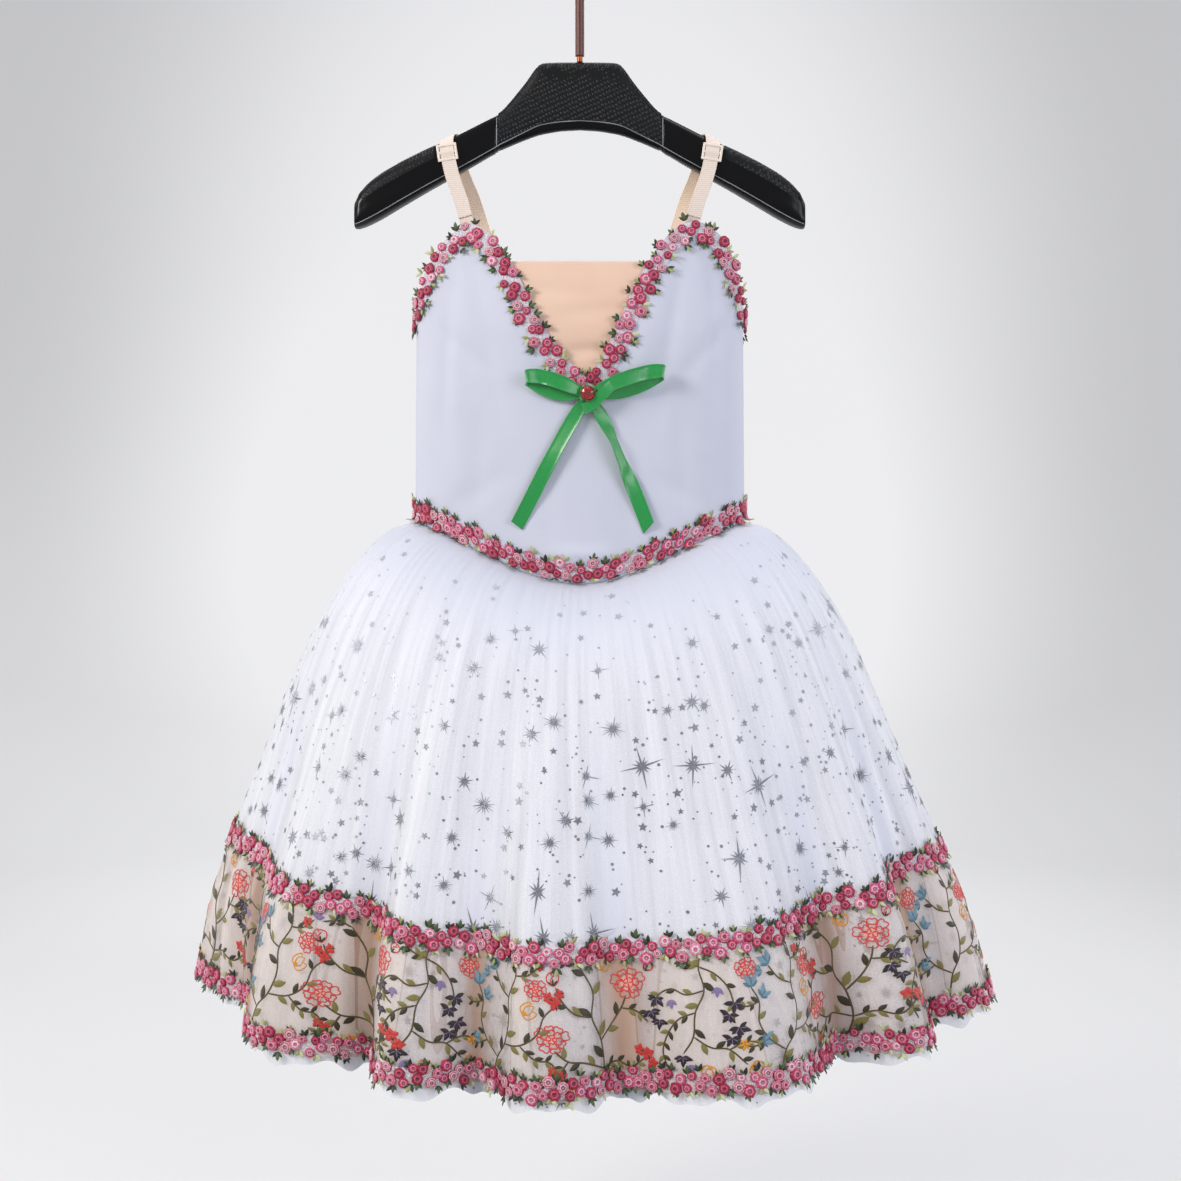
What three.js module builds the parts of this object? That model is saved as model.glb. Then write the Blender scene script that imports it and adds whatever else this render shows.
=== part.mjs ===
// A girl's ballet dress hanging by its elastic straps on a moulded hanger.
// Millimetres, +Z up, the dress faces -Y, +X on the right of the front view.
// The origin is the inside top of the hook's curl, where a rail carries it.
import * as THREE from 'three';

// ---------- sizes shared by several pieces ----------
const SEAM_GAP = 0.3;
const CLOTH = 1.2;
const NET = 1.1;
const WAIST_HALF_WIDTH = 148;
const WAIST_HALF_DEPTH = 62;
const WAIST_Z_SIDE = -508;
const WAIST_DIP_FRONT = 52;
const WAIST_DIP_BACK = 12;
const HEM_HALF_WIDTH = 360;
const HEM_HALF_DEPTH = 292;
const HEM_Z_SIDE = -930;
const HEM_DROP_FRONT = 34;
const HEM_DROP_BACK = 10;
const HEM_SHIFT_X = 15;
const SECTION_POWER = 2.3;
const BODICE_TOP_HALF_WIDTH = 146;
const BODICE_FRONT_DEPTH_LOW = 62;
const BODICE_FRONT_DEPTH_BUST = 59;
const BODICE_BACK_DEPTH_LOW = 60;
const BODICE_BACK_DEPTH_TOP = 54;
const BUST_Z = -345;
const CUP_LEAN = 0.0235;
const STRAP_WIDTH = 12.6;
const ELASTIC = 1.2;
const RIBBON_WIDTH = 12.6;
const TRIM_WIDTH = 22;
const TRIM_LIE = 0.35;
const TRIM_EDGE = 1.2;
const ROSE_HEIGHT = 3.6;
const ROSE_UNEVEN = 0.9;
const SKIRT_COLUMNS = 108;
const FLOUNCE_TOP_FRONT = 0.742;
const FLOUNCE_TOP_SIDE = 0.705;
const FLOUNCE_LIFT = 3.2;
const PETTICOAT_INSET = 9;

// ---------- small maths ----------
const DEG = Math.PI / 180;

function mix(a, b, t) {
  return a + (b - a) * t;
}

function clamp(value, low, high) {
  return Math.min(high, Math.max(low, value));
}

// Reads a table of rows sorted on `key` and gives `field` at `at`, linear between rows.
function readTable(rows, key, field, at) {
  if (at <= rows[0][key]) {
    return rows[0][field];
  }
  for (let i = 1; i < rows.length; i += 1) {
    const low = rows[i - 1];
    const high = rows[i];
    if (at <= high[key]) {
      return mix(low[field], high[field], (at - low[key]) / (high[key] - low[key]));
    }
  }
  return rows[rows.length - 1][field];
}

// Even, repeatable unevenness between -1 and 1 for the number `n`.
function uneven(n) {
  const wave = Math.sin(n * 12.9898 + 4.1414) * 43758.5453;
  return 2 * (wave - Math.floor(wave)) - 1;
}

// Outward unit normal of a surface(u, v) where u runs to the viewer's right and v runs down.
function normalOf(surface, u, v, du, dv) {
  const across = new THREE.Vector3().subVectors(surface(u + du, v), surface(u - du, v));
  const down = new THREE.Vector3().subVectors(surface(u, v + dv), surface(u, v - dv));
  return new THREE.Vector3().crossVectors(down, across).normalize();
}

// ---------- building closed bodies ----------
// A body from triangles over a list of points, turned so that its faces look outward.
function bodyFrom(points, triangles) {
  let volume = 0;
  const cross = new THREE.Vector3();
  for (let i = 0; i < triangles.length; i += 3) {
    cross.crossVectors(points[triangles[i + 1]], points[triangles[i + 2]]);
    volume += points[triangles[i]].dot(cross);
  }
  if (volume < 0) {
    triangles.reverse();
  }
  const geometry = new THREE.BufferGeometry();
  const flat = new Float32Array(points.length * 3);
  points.forEach((point, index) => {
    flat[index * 3] = point.x;
    flat[index * 3 + 1] = point.y;
    flat[index * 3 + 2] = point.z;
  });
  geometry.setAttribute('position', new THREE.BufferAttribute(flat, 3));
  geometry.setIndex(triangles);
  geometry.computeVertexNormals();
  return geometry;
}

// A wall between two grids of points of the same size: face(row, column) and back(row, column).
// Rows run down and columns run to the right of a person who looks at the face.
function wall(rows, columns, round, face, back) {
  const points = [];
  const triangles = [];
  const width = round ? columns : columns + 1;
  for (let row = 0; row <= rows; row += 1) {
    for (let column = 0; column < width; column += 1) {
      points.push(face(row, column));
    }
  }
  const backStart = points.length;
  for (let row = 0; row <= rows; row += 1) {
    for (let column = 0; column < width; column += 1) {
      points.push(back(row, column));
    }
  }
  const at = (row, column) => row * width + (column % width);
  const quad = (a, b, c, d) => {
    triangles.push(a, b, c, a, c, d);
  };
  // The back's quads are cut along the same diagonal as the face's, so the walls stay apart.
  const backQuad = (a, b, c, d) => {
    triangles.push(a, c, b, a, d, c);
  };
  for (let row = 0; row < rows; row += 1) {
    for (let column = 0; column < columns; column += 1) {
      const a = at(row, column);
      const b = at(row + 1, column);
      const c = at(row + 1, column + 1);
      const d = at(row, column + 1);
      quad(a, b, c, d);
      backQuad(backStart + a, backStart + b, backStart + c, backStart + d);
    }
  }
  for (let column = 0; column < columns; column += 1) {
    const topLeft = at(0, column);
    const topRight = at(0, column + 1);
    quad(topLeft, topRight, backStart + topRight, backStart + topLeft);
    const lowLeft = at(rows, column);
    const lowRight = at(rows, column + 1);
    quad(lowRight, lowLeft, backStart + lowLeft, backStart + lowRight);
  }
  if (!round) {
    for (let row = 0; row < rows; row += 1) {
      const upLeft = at(row, 0);
      const downLeft = at(row + 1, 0);
      quad(downLeft, upLeft, backStart + upLeft, backStart + downLeft);
      const upRight = at(row, columns);
      const downRight = at(row + 1, columns);
      quad(upRight, downRight, backStart + downRight, backStart + upRight);
    }
  }
  return bodyFrom(points, triangles);
}

// A body through rings of points, each ring listed the same way round, with flat ends.
function loft(rings) {
  const count = rings[0].length;
  const points = rings.flat();
  const triangles = [];
  for (let ring = 0; ring < rings.length - 1; ring += 1) {
    for (let i = 0; i < count; i += 1) {
      const a = ring * count + i;
      const b = ring * count + ((i + 1) % count);
      triangles.push(a, b, b + count, a, b + count, a + count);
    }
  }
  const last = (rings.length - 1) * count;
  for (let i = 1; i < count - 1; i += 1) {
    triangles.push(0, i + 1, i);
    triangles.push(last, last + i, last + i + 1);
  }
  return bodyFrom(points, triangles);
}

// A ribbon or elastic: a flat section carried along stations with a point, a width
// direction and a face direction. `width` and `thick` are its full sizes.
function ribbon(stations, width, thick) {
  const rings = stations.map((station) => {
    const side = station.side.clone().multiplyScalar(width / 2);
    const face = station.face.clone().multiplyScalar(thick / 2);
    return [
      station.at.clone().sub(side).sub(face),
      station.at.clone().add(side).sub(face),
      station.at.clone().add(side).add(face),
      station.at.clone().sub(side).add(face),
    ];
  });
  return loft(rings);
}

// A round rod or tube along a path, closed at its ends. `inner` 0 gives a solid rod.
function tube(path, steps, sides, outer, inner) {
  const shape = new THREE.Shape();
  for (let i = 0; i <= sides; i += 1) {
    const turn = (i / sides) * Math.PI * 2;
    const x = outer * Math.cos(turn);
    const y = outer * Math.sin(turn);
    if (i === 0) {
      shape.moveTo(x, y);
    } else {
      shape.lineTo(x, y);
    }
  }
  if (inner > 0) {
    const hole = new THREE.Path();
    for (let i = 0; i <= sides; i += 1) {
      const turn = (-i / sides) * Math.PI * 2;
      const x = inner * Math.cos(turn);
      const y = inner * Math.sin(turn);
      if (i === 0) {
        hole.moveTo(x, y);
      } else {
        hole.lineTo(x, y);
      }
    }
    shape.holes.push(hole);
  }
  return new THREE.ExtrudeGeometry(shape, {
    steps,
    bevelEnabled: false,
    extrudePath: path,
    curveSegments: 1,
  });
}

const group = new THREE.Group();

function add(name, geometry, color, roughness, metalness = 0) {
  const material = new THREE.MeshStandardMaterial({ color, roughness, metalness });
  const mesh = new THREE.Mesh(geometry, material);
  mesh.name = name;
  group.add(mesh);
}

// ---------- hanger: one black moulding with a raised centre and two wide arms ----------
// Right half; the left half mirrors it. `deep` is the front-to-back size.
const HANGER_SECTIONS = [
  { x: 0, top: -101, low: -160.2, deep: 22 },
  { x: 18, top: -101, low: -161.2, deep: 22 },
  { x: 37, top: -101.6, low: -164.6, deep: 23 },
  { x: 45, top: -115, low: -167.6, deep: 23 },
  { x: 58, top: -131, low: -172.6, deep: 24 },
  { x: 71, top: -146, low: -178.2, deep: 25 },
  { x: 92, top: -156.5, low: -190.4, deep: 28 },
  { x: 114, top: -167.6, low: -202.6, deep: 32 },
  { x: 136, top: -177, low: -214.6, deep: 35 },
  { x: 157, top: -187.2, low: -226.8, deep: 38 },
  { x: 176, top: -198, low: -238, deep: 40 },
  { x: 188, top: -207, low: -244, deep: 40 },
  { x: 196, top: -216.5, low: -247, deep: 38 },
  { x: 200, top: -225, low: -247, deep: 34 },
];
const HANGER_SIDES = 16;
const HANGER_SQUARENESS = 2.8;

function hangerRing(section, mirror) {
  const middle = (section.top + section.low) / 2;
  const tall = (section.top - section.low) / 2;
  const ring = [];
  for (let i = 0; i < HANGER_SIDES; i += 1) {
    const turn = ((i + 0.5) / HANGER_SIDES) * Math.PI * 2;
    const c = Math.cos(turn);
    const s = Math.sin(turn);
    const power = 2 / HANGER_SQUARENESS;
    const y = (section.deep / 2) * Math.sign(c) * Math.abs(c) ** power;
    const z = middle + tall * Math.sign(s) * Math.abs(s) ** power;
    ring.push(new THREE.Vector3(section.x * mirror, y, z));
  }
  return ring;
}

const hangerRings = [
  ...HANGER_SECTIONS.slice(1).reverse().map((section) => hangerRing(section, -1)),
  ...HANGER_SECTIONS.map((section) => hangerRing(section, 1)),
];
add('hanger', loft(hangerRings), 0x17171a, 0.35);

// ---------- hook: copper-coloured wire in a red-brown sleeve ----------
const HOOK_WIRE_RADIUS = 2.6;
const HOOK_SLEEVE_RADIUS = 4;
const HOOK_SLEEVE_BORE = 3.3;
const HOOK_SLEEVE_LOW = -95.6;
const HOOK_CURL_RADIUS = 20;
const HOOK_CURL_Z = HOOK_SLEEVE_RADIUS - HOOK_CURL_RADIUS;
const HOOK_STEPS = 20;
const HOOK_SIDES = 8;

function hookPath(lowest, endTurn) {
  const points = [
    new THREE.Vector3(0, 0, lowest),
    new THREE.Vector3(0, 0, -70),
    new THREE.Vector3(0, 0, -54),
    new THREE.Vector3(1.2, 0, -43.5),
  ];
  const turns = [-48, -18, 15, 52, 90, 125, 158, endTurn];
  turns.forEach((turn) => {
    const x = HOOK_CURL_RADIUS * Math.cos(turn * DEG);
    const z = HOOK_CURL_Z + HOOK_CURL_RADIUS * Math.sin(turn * DEG);
    points.push(new THREE.Vector3(x, 0, z));
  });
  return new THREE.CatmullRomCurve3(points);
}

const hangerTop = HANGER_SECTIONS[0].top;
add(
  'hook_wire',
  tube(hookPath(hangerTop + SEAM_GAP, 185), HOOK_STEPS, HOOK_SIDES, HOOK_WIRE_RADIUS, 0),
  0x8a4a2c, 0.35, 0.9,
);
add(
  'hook_sleeve',
  tube(hookPath(HOOK_SLEEVE_LOW, 184), HOOK_STEPS, HOOK_SIDES, HOOK_SLEEVE_RADIUS, HOOK_SLEEVE_BORE),
  0x5b2b20, 0.45,
);

// ---------- bodice: stretch front and back joined at side seams ----------
// Half-round section: angle 0 faces the viewer and 90 is the side under the right-hand strap.
function sectionPoint(angle, halfWidth, halfDepth, power) {
  const s = Math.sin(angle);
  const c = Math.cos(angle);
  const round = (Math.abs(s) ** power + Math.abs(c) ** power) ** (-1 / power);
  return { x: halfWidth * s * round, y: -halfDepth * c * round };
}

// Half depth of the body at a height: the cups lean in above the bust, towards the hanger.
function bodyDepth(front, z) {
  const rise = clamp((z - WAIST_Z_SIDE) / (BUST_Z - WAIST_Z_SIDE), 0, 1);
  if (!front) {
    return mix(BODICE_BACK_DEPTH_LOW, BODICE_BACK_DEPTH_TOP, rise);
  }
  const above = Math.max(0, z - BUST_Z);
  return mix(BODICE_FRONT_DEPTH_LOW, BODICE_FRONT_DEPTH_BUST, rise) - CUP_LEAN * above ** 1.5;
}

function bodyPoint(angle, z) {
  const rise = clamp((z - WAIST_Z_SIDE) / (BUST_Z - WAIST_Z_SIDE), 0, 1);
  const width = mix(WAIST_HALF_WIDTH, BODICE_TOP_HALF_WIDTH, rise);
  const deep = bodyDepth(Math.cos(angle) >= 0, z);
  const point = sectionPoint(angle, width, deep, SECTION_POWER);
  return new THREE.Vector3(point.x, point.y, z);
}

function waistZ(angle) {
  const s = Math.abs(Math.sin(angle));
  const dip = (0.5 * (1 + Math.cos(Math.PI * s))) ** 0.8;
  const deep = Math.cos(angle) >= 0 ? WAIST_DIP_FRONT : WAIST_DIP_BACK;
  return WAIST_Z_SIDE - deep * dip;
}

// Front neckline, left side of the view to the right side, as the finished edge.
const NECKLINE = [
  { x: -146.5, z: -325 },
  { x: -142, z: -300 },
  { x: -132, z: -275 },
  { x: -116, z: -255.5 },
  { x: -97, z: -243 },
  { x: -82, z: -251 },
  { x: -67.5, z: -266.5 },
  { x: -53, z: -291 },
  { x: -35.5, z: -331 },
  { x: -19.5, z: -353.5 },
  { x: -4.5, z: -371.5 },
  { x: 7, z: -382.5 },
  { x: 20.5, z: -362.5 },
  { x: 34, z: -331 },
  { x: 49.5, z: -296 },
  { x: 66, z: -268.5 },
  { x: 83, z: -248 },
  { x: 100, z: -241 },
  { x: 116, z: -246.5 },
  { x: 131.5, z: -262.5 },
  { x: 141.5, z: -291 },
  { x: 146.5, z: -325 },
];
// Back edge: a plain scoop between the back straps.
const BACK_EDGE = [
  { x: -146.5, z: -325 },
  { x: -112, z: -307 },
  { x: -68, z: -292 },
  { x: -34, z: -298.5 },
  { x: 0, z: -301 },
  { x: 34, z: -298.5 },
  { x: 68, z: -292 },
  { x: 112, z: -307 },
  { x: 146.5, z: -325 },
];

// A column of the front or back panel: `across` runs 0 to 1 from the left of a person who
// faces that panel, and `down` runs 0 at the top edge to 1 at the waist.
function panelPoint(across, down, front) {
  const angle = front ? mix(-90, 90, across) * DEG : mix(90, 270, across) * DEG;
  const side = sectionPoint(angle, BODICE_TOP_HALF_WIDTH, 1, SECTION_POWER).x;
  const top = readTable(front ? NECKLINE : BACK_EDGE, 'x', 'z', side);
  return bodyPoint(angle, mix(top, waistZ(angle), down));
}

// The cloth's points moved by `off` along the body's outward direction at that height.
function bodyOut(point, angle, off) {
  const around = normalOf((u, v) => bodyPoint(u, -v), angle, -point.z, 0.01, 2);
  return point.clone().addScaledVector(around, off);
}

const BODICE_DOWNS = [0, 0.07, 0.16, 0.27, 0.42, 0.6, 0.8, 1];

function bodicePanel(front, columns) {
  const rows = BODICE_DOWNS.length - 1;
  const place = (row, column, off) => {
    const gap = SEAM_GAP / 2 / (WAIST_HALF_DEPTH * Math.PI);
    const across = clamp(column / columns, gap, 1 - gap);
    const angle = front ? mix(-90, 90, across) * DEG : mix(90, 270, across) * DEG;
    return bodyOut(panelPoint(across, BODICE_DOWNS[row], front), angle, off);
  };
  return wall(
    rows, columns, false,
    (row, column) => place(row, column, 0),
    (row, column) => place(row, column, -CLOTH),
  );
}

add('bodice_front', bodicePanel(true, 42), 0xd3d5e6, 0.8);
add('bodice_back', bodicePanel(false, 28), 0xd3d5e6, 0.8);

// ---------- nude insert behind the V ----------
const INSERT_TOP_Z = -278;
const INSERT_LOW_Z = -392;
const INSERT_UNDERLAP = 9;
const INSERT_BEHIND = 1;
const INSERT_EDGES = [
  { drop: 0, left: -59, right: 59 },
  { drop: 13, left: -53, right: 50 },
  { drop: 53, left: -35.5, right: 34 },
  { drop: 75, left: -20, right: 25 },
  { drop: 93, left: -4.5, right: 16 },
  { drop: 114, left: 0, right: 12 },
];

function insertPlace(row, column, off) {
  const rows = 9;
  const columns = 10;
  const drop = (row / rows) * (INSERT_TOP_Z - INSERT_LOW_Z);
  const left = readTable(INSERT_EDGES, 'drop', 'left', drop) - INSERT_UNDERLAP;
  const right = readTable(INSERT_EDGES, 'drop', 'right', drop) + INSERT_UNDERLAP;
  const x = mix(left, right, column / columns);
  const z = INSERT_TOP_Z - drop;
  let angle = Math.asin(clamp(x / BODICE_TOP_HALF_WIDTH, -1, 1));
  for (let i = 0; i < 8; i += 1) {
    angle -= (bodyPoint(angle, z).x - x) / BODICE_TOP_HALF_WIDTH;
  }
  return bodyOut(bodyPoint(angle, z), angle, off);
}

add(
  'neck_insert',
  wall(
    9, 10, false,
    (row, column) => insertPlace(row, column, -CLOTH - INSERT_BEHIND),
    (row, column) => insertPlace(row, column, -CLOTH * 2 - INSERT_BEHIND),
  ),
  0xf3d8c4, 0.75,
);

// ---------- skirt form: every skirt layer takes its points from this ----------
// Each valley: where it lies, and how deep it is at the hem.
const VALLEYS = [
  { angle: -170, deep: 46 },
  { angle: -141, deep: 56 },
  { angle: -113, deep: 48 },
  { angle: -67, deep: 42 },
  { angle: -36, deep: 56 },
  { angle: -17, deep: 46 },
  { angle: 4, deep: 42 },
  { angle: 40, deep: 58 },
  { angle: 59, deep: 48 },
  { angle: 88, deep: 40 },
  { angle: 119, deep: 56 },
  { angle: 149, deep: 50 },
];
const FOLD_START = 0.22;
const FOLD_OVERHANG = 0.24;
const GATHER_HEIGHT = 1.5;
const GATHER_FADE = 0.62;

// The fold that holds `turn` degrees: its two valleys and the share of the way between.
function foldAt(turn) {
  const next = VALLEYS.findIndex((valley) => valley.angle > turn);
  const last = VALLEYS.length - 1;
  const high = next < 0 ? VALLEYS[0] : VALLEYS[next];
  const low = next <= 0 ? VALLEYS[last] : VALLEYS[next - 1];
  const lowAngle = next === 0 ? low.angle - 360 : low.angle;
  const highAngle = next < 0 ? high.angle + 360 : high.angle;
  const share = (turn - lowAngle) / (highAngle - lowAngle);
  return { low, high, lowAngle, highAngle, share };
}

// Point of the skirt: `turn` in degrees (0 in front, + to the viewer's right) and `down`
// from 0 at the waist to 1 at the hem.
function skirtPoint(turn, down) {
  const wrapped = turn - 360 * Math.floor((turn + 180) / 360);
  const fold = foldAt(wrapped);
  const fall = Math.max(down, 0) ** 1.2;
  const bulge = 0.03 * Math.sin(Math.PI * clamp((fall - 0.5) / 0.5, 0, 1));
  const spread = fall ** 0.56 + bulge;
  const grow = Math.max(0, (down - FOLD_START) / (1 - FOLD_START)) ** 1.6;
  const deep = mix(fold.low.deep, fold.high.deep, fold.share) * grow;
  const dip = deep * 0.5 * (1 + Math.cos(2 * Math.PI * fold.share));
  const lean = (FOLD_OVERHANG * grow * Math.sin(2 * Math.PI * fold.share)) / (2 * Math.PI);
  const angle = mix(fold.lowAngle, fold.highAngle, fold.share - lean) * DEG;
  const halfWidth = mix(WAIST_HALF_WIDTH, HEM_HALF_WIDTH, spread);
  const halfDepth = mix(WAIST_HALF_DEPTH, HEM_HALF_DEPTH, spread);
  const power = mix(SECTION_POWER, 2, clamp(spread * 2, 0, 1));
  const flat = sectionPoint(angle, halfWidth, halfDepth, power);
  const outX = Math.sin(angle) / halfWidth;
  const outY = -Math.cos(angle) / halfDepth;
  const long = Math.hypot(outX, outY);
  const front = Math.max(Math.cos(angle), 0);
  const rear = Math.max(-Math.cos(angle), 0);
  const hem = HEM_Z_SIDE - HEM_DROP_FRONT * front ** 1.2 - HEM_DROP_BACK * rear;
  const waist = waistZ(angle) - SEAM_GAP;
  return new THREE.Vector3(
    flat.x - (outX / long) * dip + HEM_SHIFT_X * down * down,
    flat.y - (outY / long) * dip,
    mix(waist, hem, fall),
  );
}

function skirtOut(turn, down, off) {
  const normal = normalOf(skirtPoint, turn, Math.max(down, 0.02), 0.8, 0.015);
  const flat = down < 0.02 ? new THREE.Vector3(normal.x, normal.y, 0).normalize() : normal;
  return skirtPoint(turn, down).addScaledVector(flat, off);
}

// Where the flounce is sewn on, as a share of the way down.
function flounceTop(turn) {
  const side = Math.abs(Math.sin(turn * DEG));
  return mix(FLOUNCE_TOP_FRONT, FLOUNCE_TOP_SIDE, side * side);
}

// Small gathers let into the waist, one in and one out for each pair of columns.
function gather(column, down) {
  const fade = clamp(1 - down / GATHER_FADE, 0, 1);
  const height = GATHER_HEIGHT * (1 + 0.35 * uneven(Math.floor(column / 2)));
  return (column % 2 === 0 ? height : -height) * fade * clamp(down / 0.03, 0.3, 1);
}

// The seams lie at 90 and -90 degrees; `half` is 'front' or 'back'.
function skirtTurn(column, columns, half) {
  const start = half === 'front' ? -90 : 90;
  const gap = 0.06;
  return start + clamp((column / columns) * 180, gap, 180 - gap);
}

const HALF_COLUMNS = SKIRT_COLUMNS / 2;
const SKIRT_DOWNS = [0, 0.06, 0.2, 0.45, 0.73, 1];

function skirtHalf(half) {
  const place = (row, column, off) => {
    const down = SKIRT_DOWNS[row];
    const turn = skirtTurn(column, HALF_COLUMNS, half);
    return skirtOut(turn, down, off + gather(column, down));
  };
  return wall(
    SKIRT_DOWNS.length - 1, HALF_COLUMNS, false,
    (row, column) => place(row, column, 0),
    (row, column) => place(row, column, -NET),
  );
}

add('skirt_front', skirtHalf('front'), 0xf2f2f8, 0.85);
add('skirt_back', skirtHalf('back'), 0xf2f2f8, 0.85);

// ---------- petticoat: a plain net layer inside the star net ----------
const PETTICOAT_DOWNS = [0.06, 0.2, 0.45, 0.985];
const PETTICOAT_SEWN = 2.9;
const PETTICOAT_FREE_DOWN = 0.3;

function petticoatPlace(row, column, off) {
  const down = PETTICOAT_DOWNS[row];
  const turn = -180 + (column / SKIRT_COLUMNS) * 360;
  const inset = mix(PETTICOAT_SEWN, PETTICOAT_INSET, clamp(down / PETTICOAT_FREE_DOWN - 0.2, 0, 1));
  return skirtOut(turn, down, off - inset);
}

add(
  'petticoat',
  wall(
    PETTICOAT_DOWNS.length - 1, SKIRT_COLUMNS, true,
    (row, column) => petticoatPlace(row, column, 0),
    (row, column) => petticoatPlace(row, column, -NET),
  ),
  0xf6f6fa, 0.9,
);

// ---------- flounce: embroidered nude net sewn round the skirt ----------
const FLOUNCE_ROWS = 2;
const FLOUNCE_END = 0.978;

function flounceHalf(half) {
  const place = (row, column, off) => {
    const turn = skirtTurn(column, HALF_COLUMNS, half);
    const share = row / FLOUNCE_ROWS;
    const down = mix(flounceTop(turn), FLOUNCE_END, share);
    const lift = SEAM_GAP + FLOUNCE_LIFT * clamp(share * 2, 0, 1);
    return skirtOut(turn, down, lift + off);
  };
  return wall(
    FLOUNCE_ROWS, HALF_COLUMNS, false,
    (row, column) => place(row, column, NET),
    (row, column) => place(row, column, 0),
  );
}

add('flounce_front', flounceHalf('front'), 0xdcc4b6, 0.8);
add('flounce_back', flounceHalf('back'), 0xdcc4b6, 0.8);

// ---------- rose trim: a braid of raised rosettes, one length for each edge ----------
// Height of the roses over the braid's foot at one point of the length.
function roseHeight(step, salt) {
  return ROSE_HEIGHT + ROSE_UNEVEN * uneven(step * 3 + salt);
}

// Braid round the skirt: `middle(turn)` is its centre line as a share of the way down.
function skirtBraid(middle, lift, salt) {
  const halfShare = TRIM_WIDTH / 2 / 480;
  const place = (row, column, face) => {
    const turn = -180 + (column / SKIRT_COLUMNS) * 360;
    const down = middle(turn) + (row - 1) * halfShare;
    const raised = row === 1 ? roseHeight(column, salt) : TRIM_EDGE;
    return skirtOut(turn, down, lift + (face ? raised : 0));
  };
  return wall(
    2, SKIRT_COLUMNS, true,
    (row, column) => place(row, column, true),
    (row, column) => place(row, column, false),
  );
}

const FLOUNCE_FACE = SEAM_GAP + NET;
const FLOUNCE_TRIM_LIE = 1;
const HEM_TRIM_LIE = 0.9;
add(
  'trim_flounce',
  skirtBraid((turn) => flounceTop(turn) + 0.004, FLOUNCE_FACE + FLOUNCE_TRIM_LIE, 11),
  0xb23a62, 0.7,
);
add(
  'trim_hem',
  skirtBraid(() => FLOUNCE_END - 0.019, FLOUNCE_FACE + FLOUNCE_LIFT + HEM_TRIM_LIE, 47),
  0xb23a62, 0.7,
);

// Braid on the bodice just above the waist seam.
const WAIST_TRIM_COLUMNS = 64;
const WAIST_TRIM_RISE = 10;

function waistBraidPlace(row, column, face) {
  const angle = (-180 + (column / WAIST_TRIM_COLUMNS) * 360) * DEG;
  const z = waistZ(angle) + WAIST_TRIM_RISE - (row - 1) * (TRIM_WIDTH / 2 - 2);
  const raised = row === 1 ? roseHeight(column, 83) : TRIM_EDGE;
  return bodyOut(bodyPoint(angle, z), angle, TRIM_LIE + (face ? raised : 0));
}

add(
  'trim_waist',
  wall(
    2, WAIST_TRIM_COLUMNS, true,
    (row, column) => waistBraidPlace(row, column, true),
    (row, column) => waistBraidPlace(row, column, false),
  ),
  0xb23a62, 0.7,
);

// Braid round the top: along the neckline in front and the scoop behind, one closed ring.
const NECK_TRIM_FRONT = 72;
const NECK_TRIM_BACK = 32;

// Evenly spaced places along the top edge of the front or back, as shares across it.
function evenEdge(count, front) {
  const path = [];
  const fine = 400;
  for (let i = 0; i <= fine; i += 1) {
    path.push(panelPoint(i / fine, 0, front));
  }
  const lengths = [0];
  for (let i = 1; i <= fine; i += 1) {
    lengths.push(lengths[i - 1] + path[i].distanceTo(path[i - 1]));
  }
  const even = [];
  let next = 0;
  for (let i = 0; i < count; i += 1) {
    const want = (lengths[fine] * i) / count;
    while (lengths[next + 1] < want) {
      next += 1;
    }
    const share = (want - lengths[next]) / (lengths[next + 1] - lengths[next]);
    even.push((next + share) / fine);
  }
  return even;
}

const neckEdge = [
  ...evenEdge(NECK_TRIM_FRONT, true).map((across) => ({ across, front: true })),
  ...evenEdge(NECK_TRIM_BACK, false).map((across) => ({ across, front: false })),
];

function angleOf(spot) {
  return spot.front ? mix(-90, 90, spot.across) * DEG : mix(90, 270, spot.across) * DEG;
}

// Down-the-cloth direction square to the edge, smoothed over two neighbours each way.
function neckInward(index) {
  const count = neckEdge.length;
  const reach = 2;
  const before = neckEdge[(index - reach + count) % count];
  const after = neckEdge[(index + reach) % count];
  const a = panelPoint(before.across, 0, before.front);
  const b = panelPoint(after.across, 0, after.front);
  const along = new THREE.Vector3().subVectors(b, a).normalize();
  const spot = neckEdge[index];
  const point = panelPoint(spot.across, 0, spot.front);
  const out = bodyOut(point, angleOf(spot), 1).sub(point);
  return new THREE.Vector3().crossVectors(along, out).normalize();
}

const NECK_TRIM_REACH = 15;
const NECK_TRIM_LIE = 1;

function neckBraidPlace(row, column, face) {
  const spot = neckEdge[column];
  const point = panelPoint(spot.across, 0, spot.front);
  const inward = neckInward(column);
  const target = point.clone().addScaledVector(inward, [1.5, 8, NECK_TRIM_REACH][row]);
  let angle = angleOf(spot);
  for (let i = 0; i < 6; i += 1) {
    const here = bodyPoint(angle, target.z);
    const ahead = bodyPoint(angle + 0.01, target.z);
    const step = ahead.clone().sub(here);
    angle += (0.01 * target.clone().sub(here).dot(step)) / step.lengthSq();
  }
  const raised = row === 1 ? roseHeight(column, 29) : TRIM_EDGE;
  return bodyOut(bodyPoint(angle, target.z), angle, NECK_TRIM_LIE + (face ? raised : 0));
}

add(
  'trim_neck',
  wall(
    2, neckEdge.length, true,
    (row, column) => neckBraidPlace(row, column, true),
    (row, column) => neckBraidPlace(row, column, false),
  ),
  0xb23a62, 0.7,
);

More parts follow.
